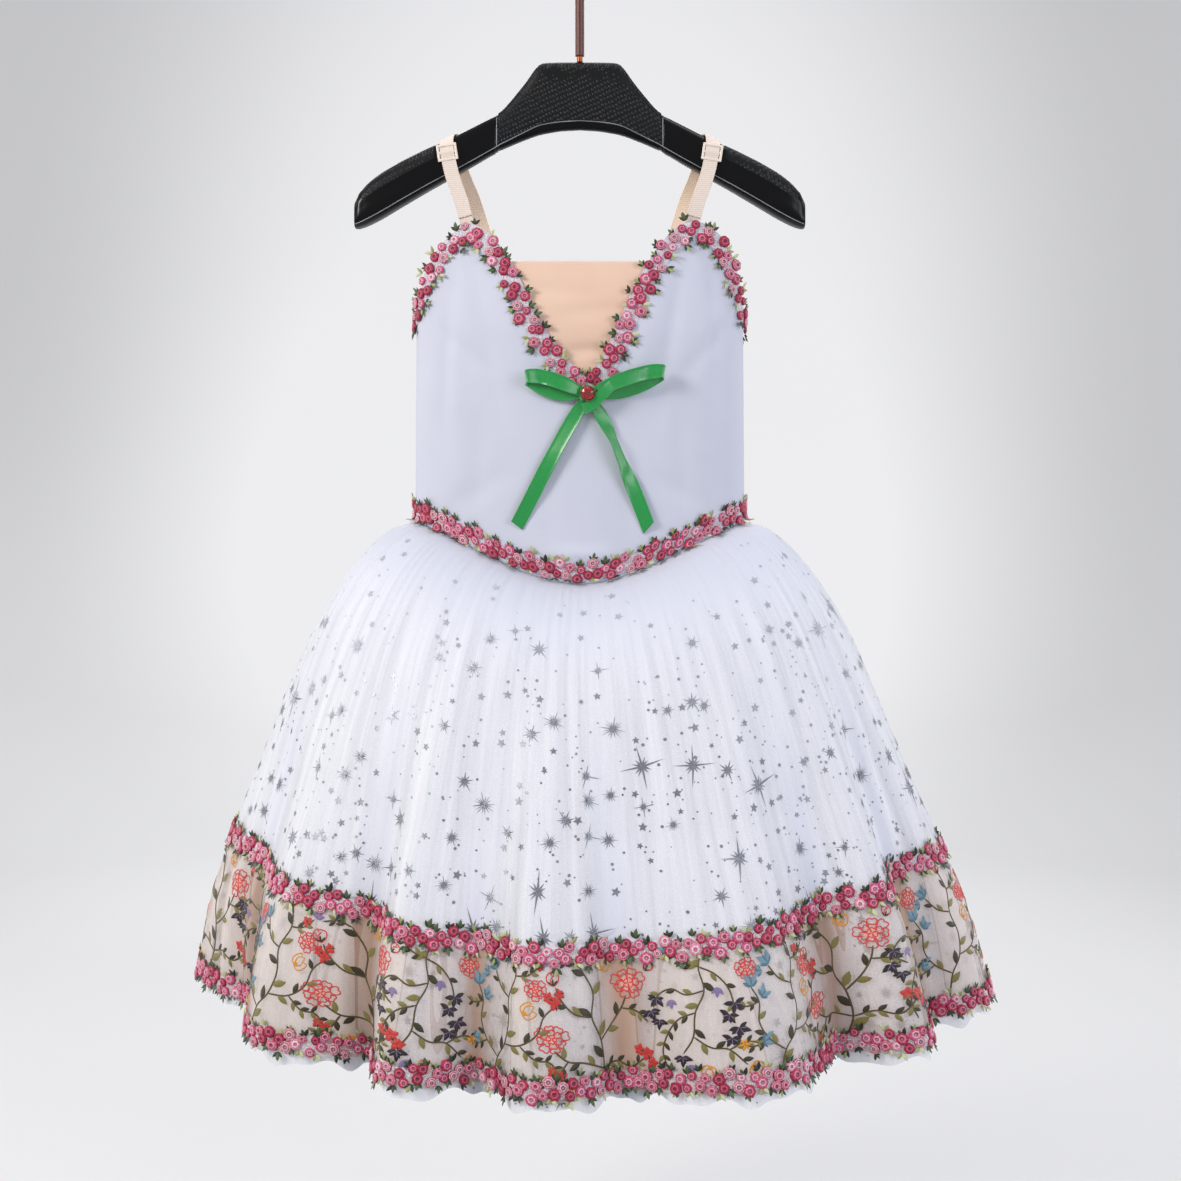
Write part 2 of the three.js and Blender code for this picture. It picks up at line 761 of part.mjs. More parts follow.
// ---------- straps: elastic from the cup's point over the hanger to the back edge ----------
// `slope` 1 lets the elastic's width follow the slope of the arm it lies on, and `turn` is
// how far the width turns back with the panel it is sewn inside.
const ARM_SLOPE = 0.47;
const STRAP_POINTS = [
  { x: 97.5, y: -27.4, z: -254, slope: 0, turn: 0.21 },
  { x: 99.5, y: -25, z: -243, slope: 0, turn: 0.2 },
  { x: 104, y: -23.2, z: -226, slope: 0, turn: 0.1 },
  { x: 112, y: -20.6, z: -203, slope: 0.2, turn: 0 },
  { x: 116, y: -19, z: -186, slope: 0.8, turn: 0 },
  { x: 117.5, y: -17, z: -175, slope: 1, turn: 0 },
  { x: 117.2, y: -12.2, z: -169.6, slope: 1, turn: 0 },
  { x: 116.5, y: -5.8, z: -167.1, slope: 1, turn: 0 },
  { x: 115.5, y: 0, z: -166.5, slope: 1, turn: 0 },
  { x: 114, y: 5.8, z: -165.9, slope: 1, turn: 0 },
  { x: 113, y: 12.2, z: -167.7, slope: 1, turn: 0 },
  { x: 112, y: 17, z: -172.4, slope: 1, turn: 0 },
  { x: 110, y: 19.4, z: -184, slope: 0.8, turn: 0 },
  { x: 103, y: 25.5, z: -203, slope: 0.2, turn: 0 },
  { x: 96, y: 31.5, z: -220, slope: 0, turn: -0.05 },
  { x: 83, y: 41, z: -262, slope: 0, turn: -0.12 },
  { x: 74, y: 46, z: -292, slope: 0, turn: -0.16 },
  { x: 71, y: 46.6, z: -304, slope: 0, turn: -0.16 },
];
const STRAP_STATIONS = 32;

function strapStations(mirror, from, to, count) {
  const points = STRAP_POINTS.map((row) => new THREE.Vector3(row.x * mirror, row.y, row.z));
  const path = new THREE.CatmullRomCurve3(points, false, 'centripetal');
  const stations = [];
  for (let i = 0; i <= count; i += 1) {
    const share = mix(from, to, i / count);
    const along = path.getTangentAt(share);
    const place = path.getUtoTmapping(share) * (STRAP_POINTS.length - 1);
    const low = Math.min(Math.floor(place), STRAP_POINTS.length - 2);
    const slope = mix(STRAP_POINTS[low].slope, STRAP_POINTS[low + 1].slope, place - low);
    const back = mix(STRAP_POINTS[low].turn, STRAP_POINTS[low + 1].turn, place - low);
    const wide = new THREE.Vector3(1, back * mirror, -ARM_SLOPE * slope * mirror).normalize();
    const side = wide.addScaledVector(along, -wide.dot(along)).normalize();
    const face = new THREE.Vector3().crossVectors(side, along).normalize();
    stations.push({ at: path.getPointAt(share), side, face });
  }
  return stations;
}

add('strap_left', ribbon(strapStations(-1, 0, 1, STRAP_STATIONS), STRAP_WIDTH, ELASTIC), 0xe7d6cb, 0.8);
add('strap_right', ribbon(strapStations(1, 0, 1, STRAP_STATIONS), STRAP_WIDTH, ELASTIC), 0xe7d6cb, 0.8);

// Sliders: a flat frame with two slots that lies on the strap in front of the hanger's top.
const SLIDER_WIDTH = 18;
const SLIDER_TALL = 15;
const SLIDER_THICK = 1.8;
const SLIDER_SHARE = 0.285;
const SLIDER_SLOT_WIDTH = 13.4;
const SLIDER_SLOT_TALL = 3.6;
const SLIDER_SLOT_OFFSET = 3.4;

function slider(mirror) {
  const station = strapStations(mirror, SLIDER_SHARE, SLIDER_SHARE + 0.01, 1)[0];
  const shape = new THREE.Shape();
  shape.moveTo(-SLIDER_WIDTH / 2, -SLIDER_TALL / 2);
  shape.lineTo(SLIDER_WIDTH / 2, -SLIDER_TALL / 2);
  shape.lineTo(SLIDER_WIDTH / 2, SLIDER_TALL / 2);
  shape.lineTo(-SLIDER_WIDTH / 2, SLIDER_TALL / 2);
  [-1, 1].forEach((sign) => {
    const middle = sign * SLIDER_SLOT_OFFSET;
    const slot = new THREE.Path();
    slot.moveTo(-SLIDER_SLOT_WIDTH / 2, middle - SLIDER_SLOT_TALL / 2);
    slot.lineTo(-SLIDER_SLOT_WIDTH / 2, middle + SLIDER_SLOT_TALL / 2);
    slot.lineTo(SLIDER_SLOT_WIDTH / 2, middle + SLIDER_SLOT_TALL / 2);
    slot.lineTo(SLIDER_SLOT_WIDTH / 2, middle - SLIDER_SLOT_TALL / 2);
    shape.holes.push(slot);
  });
  const geometry = new THREE.ExtrudeGeometry(shape, { depth: SLIDER_THICK, bevelEnabled: false });
  const up = new THREE.Vector3().crossVectors(station.face, station.side).normalize();
  const out = station.face.clone();
  if (out.y > 0) {
    out.negate();
    up.negate();
  }
  const side = new THREE.Vector3().crossVectors(up, out).normalize();
  const turn = new THREE.Matrix4().makeBasis(side, up, out);
  const base = station.at.clone().addScaledVector(out, ELASTIC / 2 + SEAM_GAP);
  turn.setPosition(base);
  geometry.applyMatrix4(turn);
  return geometry;
}

add('slider_left', slider(-1), 0xe9dccf, 0.4);
add('slider_right', slider(1), 0xe9dccf, 0.4);

// ---------- bow: two loops, two tails and a glass stone at the V ----------
const KNOT = new THREE.Vector3(7, 0, -394);
const RIBBON_THICK = 1;

// Front face of the bodice at x and z, moved out by `off`.
function onFront(x, z, off) {
  let angle = Math.asin(clamp(x / BODICE_TOP_HALF_WIDTH, -1, 1));
  for (let i = 0; i < 8; i += 1) {
    angle -= (bodyPoint(angle, z).x - x) / BODICE_TOP_HALF_WIDTH;
  }
  return bodyOut(bodyPoint(angle, z), angle, off);
}

// Stations along points on the front: { x, z, off, tip } where `tip` turns the ribbon's
// width away from square to the path, in degrees.
function frontRibbon(rows) {
  const points = rows.map((row) => onFront(row.x, row.z, row.off));
  return points.map((at, index) => {
    const before = points[Math.max(index - 1, 0)];
    const after = points[Math.min(index + 1, points.length - 1)];
    const along = new THREE.Vector3().subVectors(after, before).normalize();
    const out = new THREE.Vector3(0, -1, 0);
    const level = new THREE.Vector3().crossVectors(along, out).normalize();
    const side = level.applyAxisAngle(along, rows[index].tip * DEG);
    const face = new THREE.Vector3().crossVectors(side, along).normalize();
    return { at, side, face };
  });
}

// A loop: the strand behind goes out a little low, and the near strand comes back above it,
// with a round fold at the end, so the ribbon stands on edge like a flattened ring.
const LOOP_START = 9.6;
const LOOP_ARCH = 2.5;
const LOOP_STEPS = 6;
const LOOP_OFF = 9.4;
const STRAND_GAP = 5.5;

function bowLoop(tipX, tipZ, drop) {
  const stations = [];
  const startX = KNOT.x + Math.sign(tipX) * LOOP_START;
  for (let i = 0; i <= LOOP_STEPS; i += 1) {
    const share = i / LOOP_STEPS;
    const x = mix(startX, tipX, share);
    const z = mix(KNOT.z, tipZ, share) - drop * Math.sin(Math.PI * share * 0.8);
    stations.push({ x, z, off: LOOP_OFF - 1.8 - STRAND_GAP * 0.35 * Math.sin(Math.PI * share) });
  }
  for (let i = LOOP_STEPS; i >= 0; i -= 1) {
    const share = i / LOOP_STEPS;
    const x = mix(startX, tipX, share);
    const z = mix(KNOT.z, tipZ, share) + LOOP_ARCH * Math.sin(Math.PI * share);
    stations.push({ x, z, off: LOOP_OFF + STRAND_GAP * Math.sin(Math.PI * Math.min(share, 0.82)) });
  }
  const points = stations.map((row) => onFront(row.x, row.z, row.off));
  const endX = tipX + Math.sign(tipX) * 2.2;
  points.splice(LOOP_STEPS + 1, 0, onFront(endX, tipZ - drop * 0.3, LOOP_OFF + 0.4));
  const ring = points.map((at, index) => {
    const before = points[Math.max(index - 1, 0)];
    const after = points[Math.min(index + 1, points.length - 1)];
    const along = new THREE.Vector3().subVectors(after, before).normalize();
    const up = new THREE.Vector3(0, 0, 1);
    const side = up.addScaledVector(along, -up.dot(along)).normalize();
    const face = new THREE.Vector3().crossVectors(side, along).normalize();
    return { at, side, face };
  });
  return ribbon(ring, RIBBON_WIDTH, RIBBON_THICK);
}

add('bow_loop_left', bowLoop(-48, -377, 5), 0x14843c, 0.35);
add('bow_loop_right', bowLoop(72, -374, 7), 0x14843c, 0.35);

const TAIL_LEFT = [
  { x: 3, z: -402.5, off: 3.4, tip: 0 },
  { x: -4, z: -414, off: 3, tip: 6 },
  { x: -16, z: -434, off: 2.6, tip: 10 },
  { x: -30, z: -461, off: 2.4, tip: 4 },
  { x: -42, z: -487, off: 2.6, tip: -4 },
  { x: -54.5, z: -509, off: 3, tip: -8 },
];
const TAIL_RIGHT = [
  { x: 11, z: -402.5, off: 5.4, tip: 0 },
  { x: 20, z: -417, off: 5, tip: -10 },
  { x: 30, z: -436, off: 4.2, tip: -24 },
  { x: 38, z: -456, off: 3.4, tip: -8 },
  { x: 49, z: -483, off: 2.6, tip: 6 },
  { x: 60, z: -511, off: 2.8, tip: 10 },
];

add('bow_tail_left', ribbon(frontRibbon(TAIL_LEFT), RIBBON_WIDTH, RIBBON_THICK), 0x14843c, 0.35);
add('bow_tail_right', ribbon(frontRibbon(TAIL_RIGHT), RIBBON_WIDTH, RIBBON_THICK), 0x14843c, 0.35);

// Knot: the ribbon wrapped once round the middle of the bow.
const KNOT_HALF_WIDTH = 6.5;
const KNOT_HALF_TALL = 7.6;
const KNOT_HALF_DEEP = 4.4;
const KNOT_OFF = 9.4;
const KNOT_SIDES = 10;
const knotAt = onFront(KNOT.x, KNOT.z, KNOT_OFF);
const knotRings = [-1, -0.6, 0, 0.6, 1].map((share) => {
  const waist = 0.86 + 0.14 * Math.abs(share);
  const ring = [];
  for (let i = 0; i < KNOT_SIDES; i += 1) {
    const turn = (i / KNOT_SIDES) * Math.PI * 2;
    const x = KNOT_HALF_WIDTH * share;
    const y = KNOT_HALF_DEEP * waist * Math.cos(turn);
    const z = KNOT_HALF_TALL * waist * Math.sin(turn);
    ring.push(new THREE.Vector3(knotAt.x + x, knotAt.y + y, knotAt.z + z));
  }
  return ring;
});
add('bow_knot', loft(knotRings), 0x14843c, 0.35);

// Stone: a faceted round glass gem with a flat back on the knot.
const GEM_RADIUS = 6.3;
const GEM_HEIGHT = 5;
const GEM_SIDES = 12;
const gem = new THREE.CylinderGeometry(GEM_RADIUS * 0.6, GEM_RADIUS, GEM_HEIGHT, GEM_SIDES, 1);
gem.rotateX(Math.PI);
const gemY = knotAt.y - KNOT_HALF_DEEP - SEAM_GAP - GEM_HEIGHT / 2;
gem.translate(knotAt.x, gemY, knotAt.z);
add('gem', gem, 0xa8152c, 0.1);

export default group;
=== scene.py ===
import math

import bpy
import numpy as np
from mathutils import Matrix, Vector


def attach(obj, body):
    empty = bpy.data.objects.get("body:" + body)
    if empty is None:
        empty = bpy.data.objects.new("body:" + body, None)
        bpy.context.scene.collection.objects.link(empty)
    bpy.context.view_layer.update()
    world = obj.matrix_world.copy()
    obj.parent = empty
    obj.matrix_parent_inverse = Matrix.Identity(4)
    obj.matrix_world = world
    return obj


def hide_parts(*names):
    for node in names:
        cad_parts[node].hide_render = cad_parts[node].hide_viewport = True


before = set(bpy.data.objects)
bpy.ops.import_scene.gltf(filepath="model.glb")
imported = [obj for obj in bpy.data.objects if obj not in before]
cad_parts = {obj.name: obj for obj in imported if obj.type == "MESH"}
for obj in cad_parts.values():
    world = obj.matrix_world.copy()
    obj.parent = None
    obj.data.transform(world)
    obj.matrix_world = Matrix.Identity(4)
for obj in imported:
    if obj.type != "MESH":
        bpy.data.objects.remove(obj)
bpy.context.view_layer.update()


def put_in_scene(name, data):
    """A new object with this data, at the origin."""
    made = bpy.data.objects.new(name, data)
    bpy.context.scene.collection.objects.link(made)
    return made


# The camera stands two metres in front of the hanger, at the height of the bodice, and
# looks a little down, so that the whole dress fills a square picture.
MM = 0.001
CAMERA_PLACE = Vector((9.5, -2000, -417)) * MM
CAMERA_AIM = Vector((9.5, 0, -570.5)) * MM
camera_data = bpy.data.cameras.new("camera")
camera_data.lens = 67.7
camera_data.sensor_width = 36
camera = put_in_scene("camera", camera_data)
camera.location = CAMERA_PLACE
camera.rotation_euler = (CAMERA_AIM - CAMERA_PLACE).to_track_quat("-Z", "Y").to_euler()
bpy.context.scene.camera = camera


# ---------------------------------
# Hanger: one black ABS moulding with a tall centre block and two wide arms.
# The block and the tops of the arms carry a pebbled skin, and the rest is glossy.

def linear(hex_colour, alpha=1.0):
    """An sRGB hex colour as the linear values that Blender's sockets take."""
    parts = [int(hex_colour[i:i + 2], 16) / 255 for i in (1, 3, 5)]
    flat = [p / 12.92 if p <= 0.04045 else ((p + 0.055) / 1.055) ** 2.4 for p in parts]
    return (*flat, alpha)


def feed(node, inputs):
    """Gives a node its inputs: values, hex colours, sockets, or nodes for their first output."""
    for key, value in inputs.items():
        if isinstance(value, bpy.types.Node):
            value = next(out for out in value.outputs if out.enabled)
        if isinstance(value, bpy.types.NodeSocket):
            node.id_data.links.new(value, node.inputs[key])
        else:
            node.inputs[key].default_value = linear(value) if str(value)[0] == "#" else value


def add_node(tree, kind, settings=None, inputs=None):
    """Adds a node with its settings and its inputs."""
    made = tree.nodes.new(kind)
    for name, value in (settings or {}).items():
        setattr(made, name, value)
    feed(made, inputs or {})
    return made


def start_finish(name):
    """A new material with its tree, its Principled shader and the piece's own place."""
    finish = bpy.data.materials.new(name)
    finish.use_nodes = True
    tree = finish.node_tree
    shader = tree.nodes["Principled BSDF"]
    place = add_node(tree, "ShaderNodeTexCoord").outputs["Object"]
    return finish, tree, shader, place


def mix(a, b, t):
    return a + (b - a) * t


def mesh_piece(name, points, faces, smooth=True, finish=None):
    """An object at the origin from points in millimetres and faces as index tuples."""
    mesh = bpy.data.meshes.new(name)
    mesh.from_pydata([tuple(p) for p in np.asarray(points, float) * MM], [], faces)
    mesh.validate()
    mesh.update()
    mesh.polygons.foreach_set("use_smooth", [smooth] * len(mesh.polygons))
    if finish:
        mesh.materials.append(finish)
    return put_in_scene(name, mesh)


def fit_to_frame(piece, slot, *solids):
    """Hides the solids that a piece stands for and hangs it on the root; slot, whose finish it
    takes, is not used.
    """
    if solids:
        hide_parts(*solids)
    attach(piece, "root")


def grid_faces(rows, columns, closed):
    """Faces of a grid of points, seen from outside; a closed one joins its last column."""
    width = columns if closed else columns + 1
    faces = []
    for row in range(rows):
        for column in range(columns):
            a = row * width + column
            b = row * width + (column + 1) % width
            faces.append((a, a + width, b + width, b))
    return faces


def loft_faces(rings, sides):
    """Faces of a closed body through rings that all have the same number of points."""
    faces = [(a, d, c, b) for a, b, c, d in grid_faces(rings - 1, sides, True)]
    faces.append(tuple(reversed(range(sides))))
    faces.append(tuple((rings - 1) * sides + i for i in range(sides)))
    return faces


# Right half of the hanger: how far out, top and lower edge, and front-to-back size.
HANGER_HALF = [
    (0, -101, -160.2, 22), (18, -101, -161.2, 22), (37, -101.6, -164.6, 23),
    (45, -115, -167.6, 23), (58, -131, -172.6, 24), (71, -146, -178.2, 25),
    (92, -156.5, -190.4, 28), (114, -167.6, -202.6, 32), (136, -177, -214.6, 35),
    (157, -187.2, -226.8, 38), (176, -198, -238, 40), (188, -207, -244, 40),
    (196, -216.5, -247, 38), (200, -225, -247, 34),
]
HANGER_BLOCK_HALF = 73.5
PAD_INNER = 127
PAD_OUTER = 195
HANGER_SIDES = 72
HANGER_SQUARENESS = 3.4
GROOVE_DEEP = 0.55
GROOVE_WIDE = 0.8
BEAD_TALL = 0.5

half = np.array(HANGER_HALF, float)
stations = []
for x in np.concatenate([np.linspace(0, 72, 25), np.linspace(72.4, 75, 9),
                         np.linspace(76.5, 195, 60), np.linspace(196, 199.6, 7)]):
    stations.append([x] + [np.interp(x, half[:, 0], half[:, c]) for c in (1, 2, 3)])
stations = np.array(stations)


def soften(values, passes):
    """Rounds the kinks of a row of values, and leaves its ends where they are."""
    for _ in range(passes):
        values[1:-1] = (values[:-2] + 2 * values[1:-1] + values[2:]) / 4
    return values


def lean_back(up):
    """How much the front face draws back with its share of the height, above the bead."""
    return 1 - 0.16 * np.clip((up - 0.15) / 0.85, 0, 1)


for column in (1, 2, 3):
    stations[:, column] = soften(stations[:, column], 3)
stations = np.concatenate([stations[:0:-1] * [-1, 1, 1, 1], stations])

turns = (np.arange(HANGER_SIDES) + 0.5) / HANGER_SIDES * 2 * math.pi
hanger_points = []
hanger_marks = []
for x, top, low, deep in stations:
    out = abs(x)
    power = 2 / HANGER_SQUARENESS
    c, s = np.cos(turns), np.sin(turns)
    y = -deep / 2 * np.sign(c) * np.abs(c) ** power
    z = (top + low) / 2 + (top - low) / 2 * np.sign(s) * np.abs(s) ** power
    up = (z - low) / (top - low)
    # The lower front edge is a crisp bead, and above it the face leans back a little.
    y *= lean_back(up)
    block_edge = np.exp(-((out - HANGER_BLOCK_HALF) / GROOVE_WIDE) ** 2)
    bead = np.exp(-((up - 0.11) / 0.03) ** 2)
    pad_edge = np.exp(-((up - 0.56) / 0.03) ** 2) * (PAD_INNER < out < PAD_OUTER)
    dent = GROOVE_DEEP * np.clip(block_edge + pad_edge, 0, 1) - BEAD_TALL * bead
    y -= np.sign(y) * dent
    hanger_points += list(np.stack([np.full_like(y, x), y, z], 1))
    on_block = out < HANGER_BLOCK_HALF
    on_pad = PAD_INNER < out < PAD_OUTER
    hanger_marks.append((up > 0.12) & (up < 0.985) if on_block else (up > 0.58) & on_pad)

hanger_faces = loft_faces(len(stations), HANGER_SIDES)

# Glossy injection-moulded ABS: near-black, a clear reflection with faint waviness.
abs_gloss, tree, shader, place = start_finish("moulded_black_abs")
wave = add_node(tree, "ShaderNodeTexNoise", inputs={"Vector": place, "Scale": 30.0, "Detail": 3.0})
smudge = add_node(tree, "ShaderNodeMapRange", inputs={
    "Value": wave, "To Min": 0.16, "To Max": 0.3})
ripple = add_node(tree, "ShaderNodeBump", inputs={
    "Height": wave, "Strength": 0.08, "Distance": 0.0006})
feed(shader, {
    "Base Color": "#050507", "Specular IOR Level": 0.27, "Roughness": smudge, "Normal": ripple})

# Pebbled ABS skin: grains of about 4 mm in slanting rows, with painted highlight on their tops and
# painted shade in the gaps.
PEBBLE = 3.8
abs_pebbled, tree, shader, place = start_finish("pebbled_black_abs")
grain = add_node(tree, "ShaderNodeMapping", inputs={
    "Vector": place, "Rotation": (0, 0.3, 0), "Scale": (1.25, 0.6, 0.85)})
cells = add_node(tree, "ShaderNodeTexVoronoi", {"feature": "F1"}, {
    "Vector": grain, "Scale": 1000 / PEBBLE, "Randomness": 0.22})
pebble_rise_painted_light = add_node(tree, "ShaderNodeMapRange", inputs={
    "Value": cells, "From Min": 0.08, "From Max": 0.5, "To Min": 1.0, "To Max": 0.0})
# Painted highlight on the grains' tops and painted shade in the gaps between them.
shade = add_node(tree, "ShaderNodeMix", {"data_type": "RGBA"}, {
    0: pebble_rise_painted_light, 6: "#090A0C", 7: "#232529"})
pebbles = add_node(tree, "ShaderNodeBump", inputs={
    "Height": pebble_rise_painted_light, "Strength": 0.9, "Distance": 0.0012})
feed(shader, {
    "Base Color": shade, "Roughness": 0.42, "Specular IOR Level": 0.3, "Normal": pebbles})

hanger = mesh_piece("hanger_moulding", hanger_points, hanger_faces, finish=abs_gloss)
hanger.data.materials.append(abs_pebbled)
for face in hanger.data.polygons:
    if len(face.vertices) == 4:
        marks = [hanger_marks[i // HANGER_SIDES][i % HANGER_SIDES] for i in face.vertices]
        face.material_index = int(all(marks))
fit_to_frame(hanger, "hanger_black", "hanger")


# ---------------------------------
# Hook: a copper-coloured steel wire, bent into a round curl, in a red-brown sleeve
# that leaves a short bare neck over the hanger.

HOOK_WIRE_RADIUS = 2.6
HOOK_SLEEVE_RADIUS = 4.0
HOOK_CURL_RADIUS = 20
HOOK_SIDES = 24


def distances(points):
    """How far along a line each of its points lies."""
    steps = np.linalg.norm(np.diff(points, axis=0), axis=1)
    return np.concatenate([[0], np.cumsum(steps)])


def read_at(want, far, rows):
    """The rows of a table that lie at the wanted distances."""
    return np.stack([np.interp(want, far, column) for column in rows.T], 1)


def unit(ways):
    return ways / np.linalg.norm(ways, axis=-1, keepdims=True)


def smooth_path(points, count):
    """Even places along a rounded line through the given points, and their directions."""
    points = np.asarray(points, float)
    padded = np.concatenate([[2 * points[0] - points[1]], points, [2 * points[-1] - points[-2]]])
    fine = []
    for i in range(len(points) - 1):
        a, b, c, d = padded[i:i + 4]
        for t in np.linspace(0, 1, 24, endpoint=False):
            fine.append(0.5 * (2 * b + (c - a) * t + (2 * a - 5 * b + 4 * c - d) * t ** 2
                               + (3 * b - 3 * c + d - a) * t ** 3))
    fine.append(points[-1])
    fine = np.array(fine)
    far = distances(fine)
    line = read_at(np.linspace(0, far[-1], count), far, fine)
    return line, unit(np.gradient(line, axis=0))


def round_rod(name, points, count, radius, sides, finish, round_end):
    """A rod of one radius along a path in the XZ plane, with a rounded far end."""
    line, along = smooth_path(points, count)
    across = np.array([0.0, 1.0, 0.0])
    rings = []
    sizes = np.full(count, radius)
    if round_end:
        left = np.linalg.norm(line - line[-1], axis=1)
        sizes = radius * np.sqrt(np.clip(1 - (1 - np.clip(left / radius, 0, 1)) ** 2, 0.02, 1))
    for place_on, way, size in zip(line, along, sizes):
        other = np.cross(way, across)
        for i in range(sides):
            turn = 2 * math.pi * i / sides
            rings.append(place_on + size * (math.cos(turn) * across + math.sin(turn) * other))
    return mesh_piece(name, rings, loft_faces(count, sides), finish=finish)


def hook_path(lowest, last_turn):
    points = [(0, 0, lowest), (0, 0, -70), (0, 0, -54), (1.2, 0, -43.5)]
    for turn in (-48, -18, 15, 52, 90, 125, 158, last_turn):
        x = HOOK_CURL_RADIUS * math.cos(math.radians(turn))
        z = HOOK_SLEEVE_RADIUS - HOOK_CURL_RADIUS + HOOK_CURL_RADIUS * math.sin(math.radians(turn))
        points.append((x, 0, z))
    return points


# Copper-plated steel wire: warm metal, drawn, so it shines along its length.
copper, tree, shader, place = start_finish("copper_plated_wire")
drawn = add_node(tree, "ShaderNodeMapping", inputs={"Vector": place, "Scale": (1.0, 1.0, 0.08)})
lines = add_node(tree, "ShaderNodeTexNoise", inputs={"Vector": drawn, "Scale": 2500.0})
rough = add_node(tree, "ShaderNodeMapRange", inputs={
    "Value": lines, "To Min": 0.2, "To Max": 0.42})
feed(shader, {"Base Color": "#93553B", "Metallic": 1.0, "Roughness": rough})

# Soft PVC sleeve: red-brown, half dull, with faint lengthwise drag marks.
sleeve_pvc, tree, shader, place = start_finish("red_brown_pvc_sleeve")
drag = add_node(tree, "ShaderNodeMapping", inputs={"Vector": place, "Scale": (1.0, 1.0, 0.05)})
marks = add_node(tree, "ShaderNodeTexNoise", inputs={"Vector": drag, "Scale": 1400.0})
shade = add_node(tree, "ShaderNodeMix", {"data_type": "RGBA"}, {
    0: marks, 6: "#4A241D", 7: "#6E3C30"})
feed(shader, {"Base Color": shade, "Roughness": 0.38})

wire = round_rod("hook_copper_wire", hook_path(-101.4, 185), 90, HOOK_WIRE_RADIUS, HOOK_SIDES,
                 copper, False)
fit_to_frame(wire, "copper", "hook_wire")
sleeve = round_rod("hook_sleeve_cover", hook_path(-95.6, 187), 110, HOOK_SLEEVE_RADIUS, HOOK_SIDES,
                   sleeve_pvc, True)
fit_to_frame(sleeve, "sleeve", "hook_sleeve")


# ---------------------------------
# Moulding lines: fine raised lines of the hanger's own plastic, where the tool's halves met
# and round the block's panel. They are coloured pale grey as a painted highlight along these edges.

LINE_RADIUS = 0.42
# Where the face stands at a share of its height: half its depth times this.
LINE_UP, LINE_FACE = 0.12, 0.862


def face_line(name, xs, ups, faces, proud):
    """A fine line on the hanger's front face, from places along it and shares of height."""
    rows = []
    for x, up, face in zip(xs, ups, faces):
        top, low, deep = (np.interp(abs(x), stations[len(stations) // 2:, 0],
                                    stations[len(stations) // 2:, c]) for c in (1, 2, 3))
        rows.append((x, -deep / 2 * face - proud, mix(low, top, up)))
    line = round_rod(name, rows, 6 * len(rows), LINE_RADIUS, 8, highlight_line_abs, False)
    fit_to_frame(line, "hanger_black")


# The same ABS, coloured pale grey along its proud edge as a painted highlight.
highlight_line_abs, tree, shader, place = start_finish("abs_line_painted_highlight")
highlight_mottle = add_node(tree, "ShaderNodeTexNoise", inputs={"Vector": place, "Scale": 60.0, "Detail": 2.0})
tone = add_node(tree, "ShaderNodeMix", {"data_type": "RGBA"}, {
    0: highlight_mottle, 6: "#4A4C51", 7: "#B4B6BC"})
feed(shader, {"Base Color": tone, "Roughness": 0.25})

along_x = np.linspace(-198.5, 198.5, 81)
face_line("lower_moulding_line", along_x, 0 * along_x + LINE_UP, 0 * along_x + LINE_FACE, 0.5)
for side, name in ((-1, "left"), (1, "right")):
    shares = np.linspace(LINE_UP, 0.9, 12)
    bulge = (1 - np.abs(2 * shares - 1) ** HANGER_SQUARENESS) ** (1 / HANGER_SQUARENESS)
    face_line(f"{name}_panel_line", 0 * shares + side * HANGER_BLOCK_HALF, shares,
              bulge * lean_back(shares), 0.1)


# ---------------------------------
# Straps: flesh-tone ribbed elastic, 13 mm wide, sewn inside the cups, over the hanger's
# arms and down inside the back. A moulded slider with two slots doubles each in front.

# The right strap's line, from the front seam to the back: place, then how far its width
# follows the slope of the arm, and how far it turns back with the panel.
STRAP_ROUTE = [
    (97.5, -27.4, -254, 0, 0.21), (99.5, -25, -243, 0, 0.2), (104, -23.2, -226, 0, 0.1),
    (112, -20.6, -203, 0.2, 0), (116, -19, -186, 0.8, 0), (117.5, -17, -175, 1, 0),
    (117.2, -12.2, -169.6, 1, 0), (116.5, -5.8, -167.1, 1, 0), (115.5, 0, -166.5, 1, 0),
    (114, 5.8, -165.9, 1, 0), (113, 12.2, -167.7, 1, 0), (112, 17, -172.4, 1, 0),
    (110, 19.4, -184, 0.8, 0), (103, 25.5, -203, 0.2, 0), (96, 31.5, -220, 0, -0.05),
    (83, 41, -262, 0, -0.12), (74, 46, -292, 0, -0.16), (71, 46.6, -304, 0, -0.16),
]
ARM_SLOPE = 0.47
STRAP_WIDTH = 12.6
ELASTIC_THICK = 1.1
STRAP_RIBS = 9
SLIDER_SHARE = 0.285
FLOAT_EVERY = 0.9


def strap_frames(mirror, count, first=0.0, last=1.0):
    """Places along one strap with the directions of its width and of its face."""
    route = np.array(STRAP_ROUTE, float)
    route[:, 0] *= mirror
    line, along = smooth_path(route[:, :3], 400)
    far, legs = distances(line), distances(route[:, :3])
    share = np.linspace(first, last, count)
    want = share * far[-1]
    at, way = read_at(want, far, line), unit(read_at(want, far, along))
    slope = np.interp(share * legs[-1], legs, route[:, 3])
    turn = np.interp(share * legs[-1], legs, route[:, 4])
    wide = np.stack([np.ones(count), turn * mirror, -ARM_SLOPE * slope * mirror], 1)
    wide = unit(wide - way * np.sum(wide * way, 1, keepdims=True))
    return at, way, wide, np.cross(wide, way)


def band(name, frames, width, profile, finish):
    """A flat band along frames; profile gives (across -1..1, height in mm) all round it."""
    at, way, wide, face = frames
    widths = np.broadcast_to(width, len(at))
    points = []
    for i in range(len(at)):
        for across, height in profile:
            points.append(at[i] + wide[i] * across * widths[i] / 2 + face[i] * height)
    return mesh_piece(name, points, loft_faces(len(at), len(profile)), finish=finish)


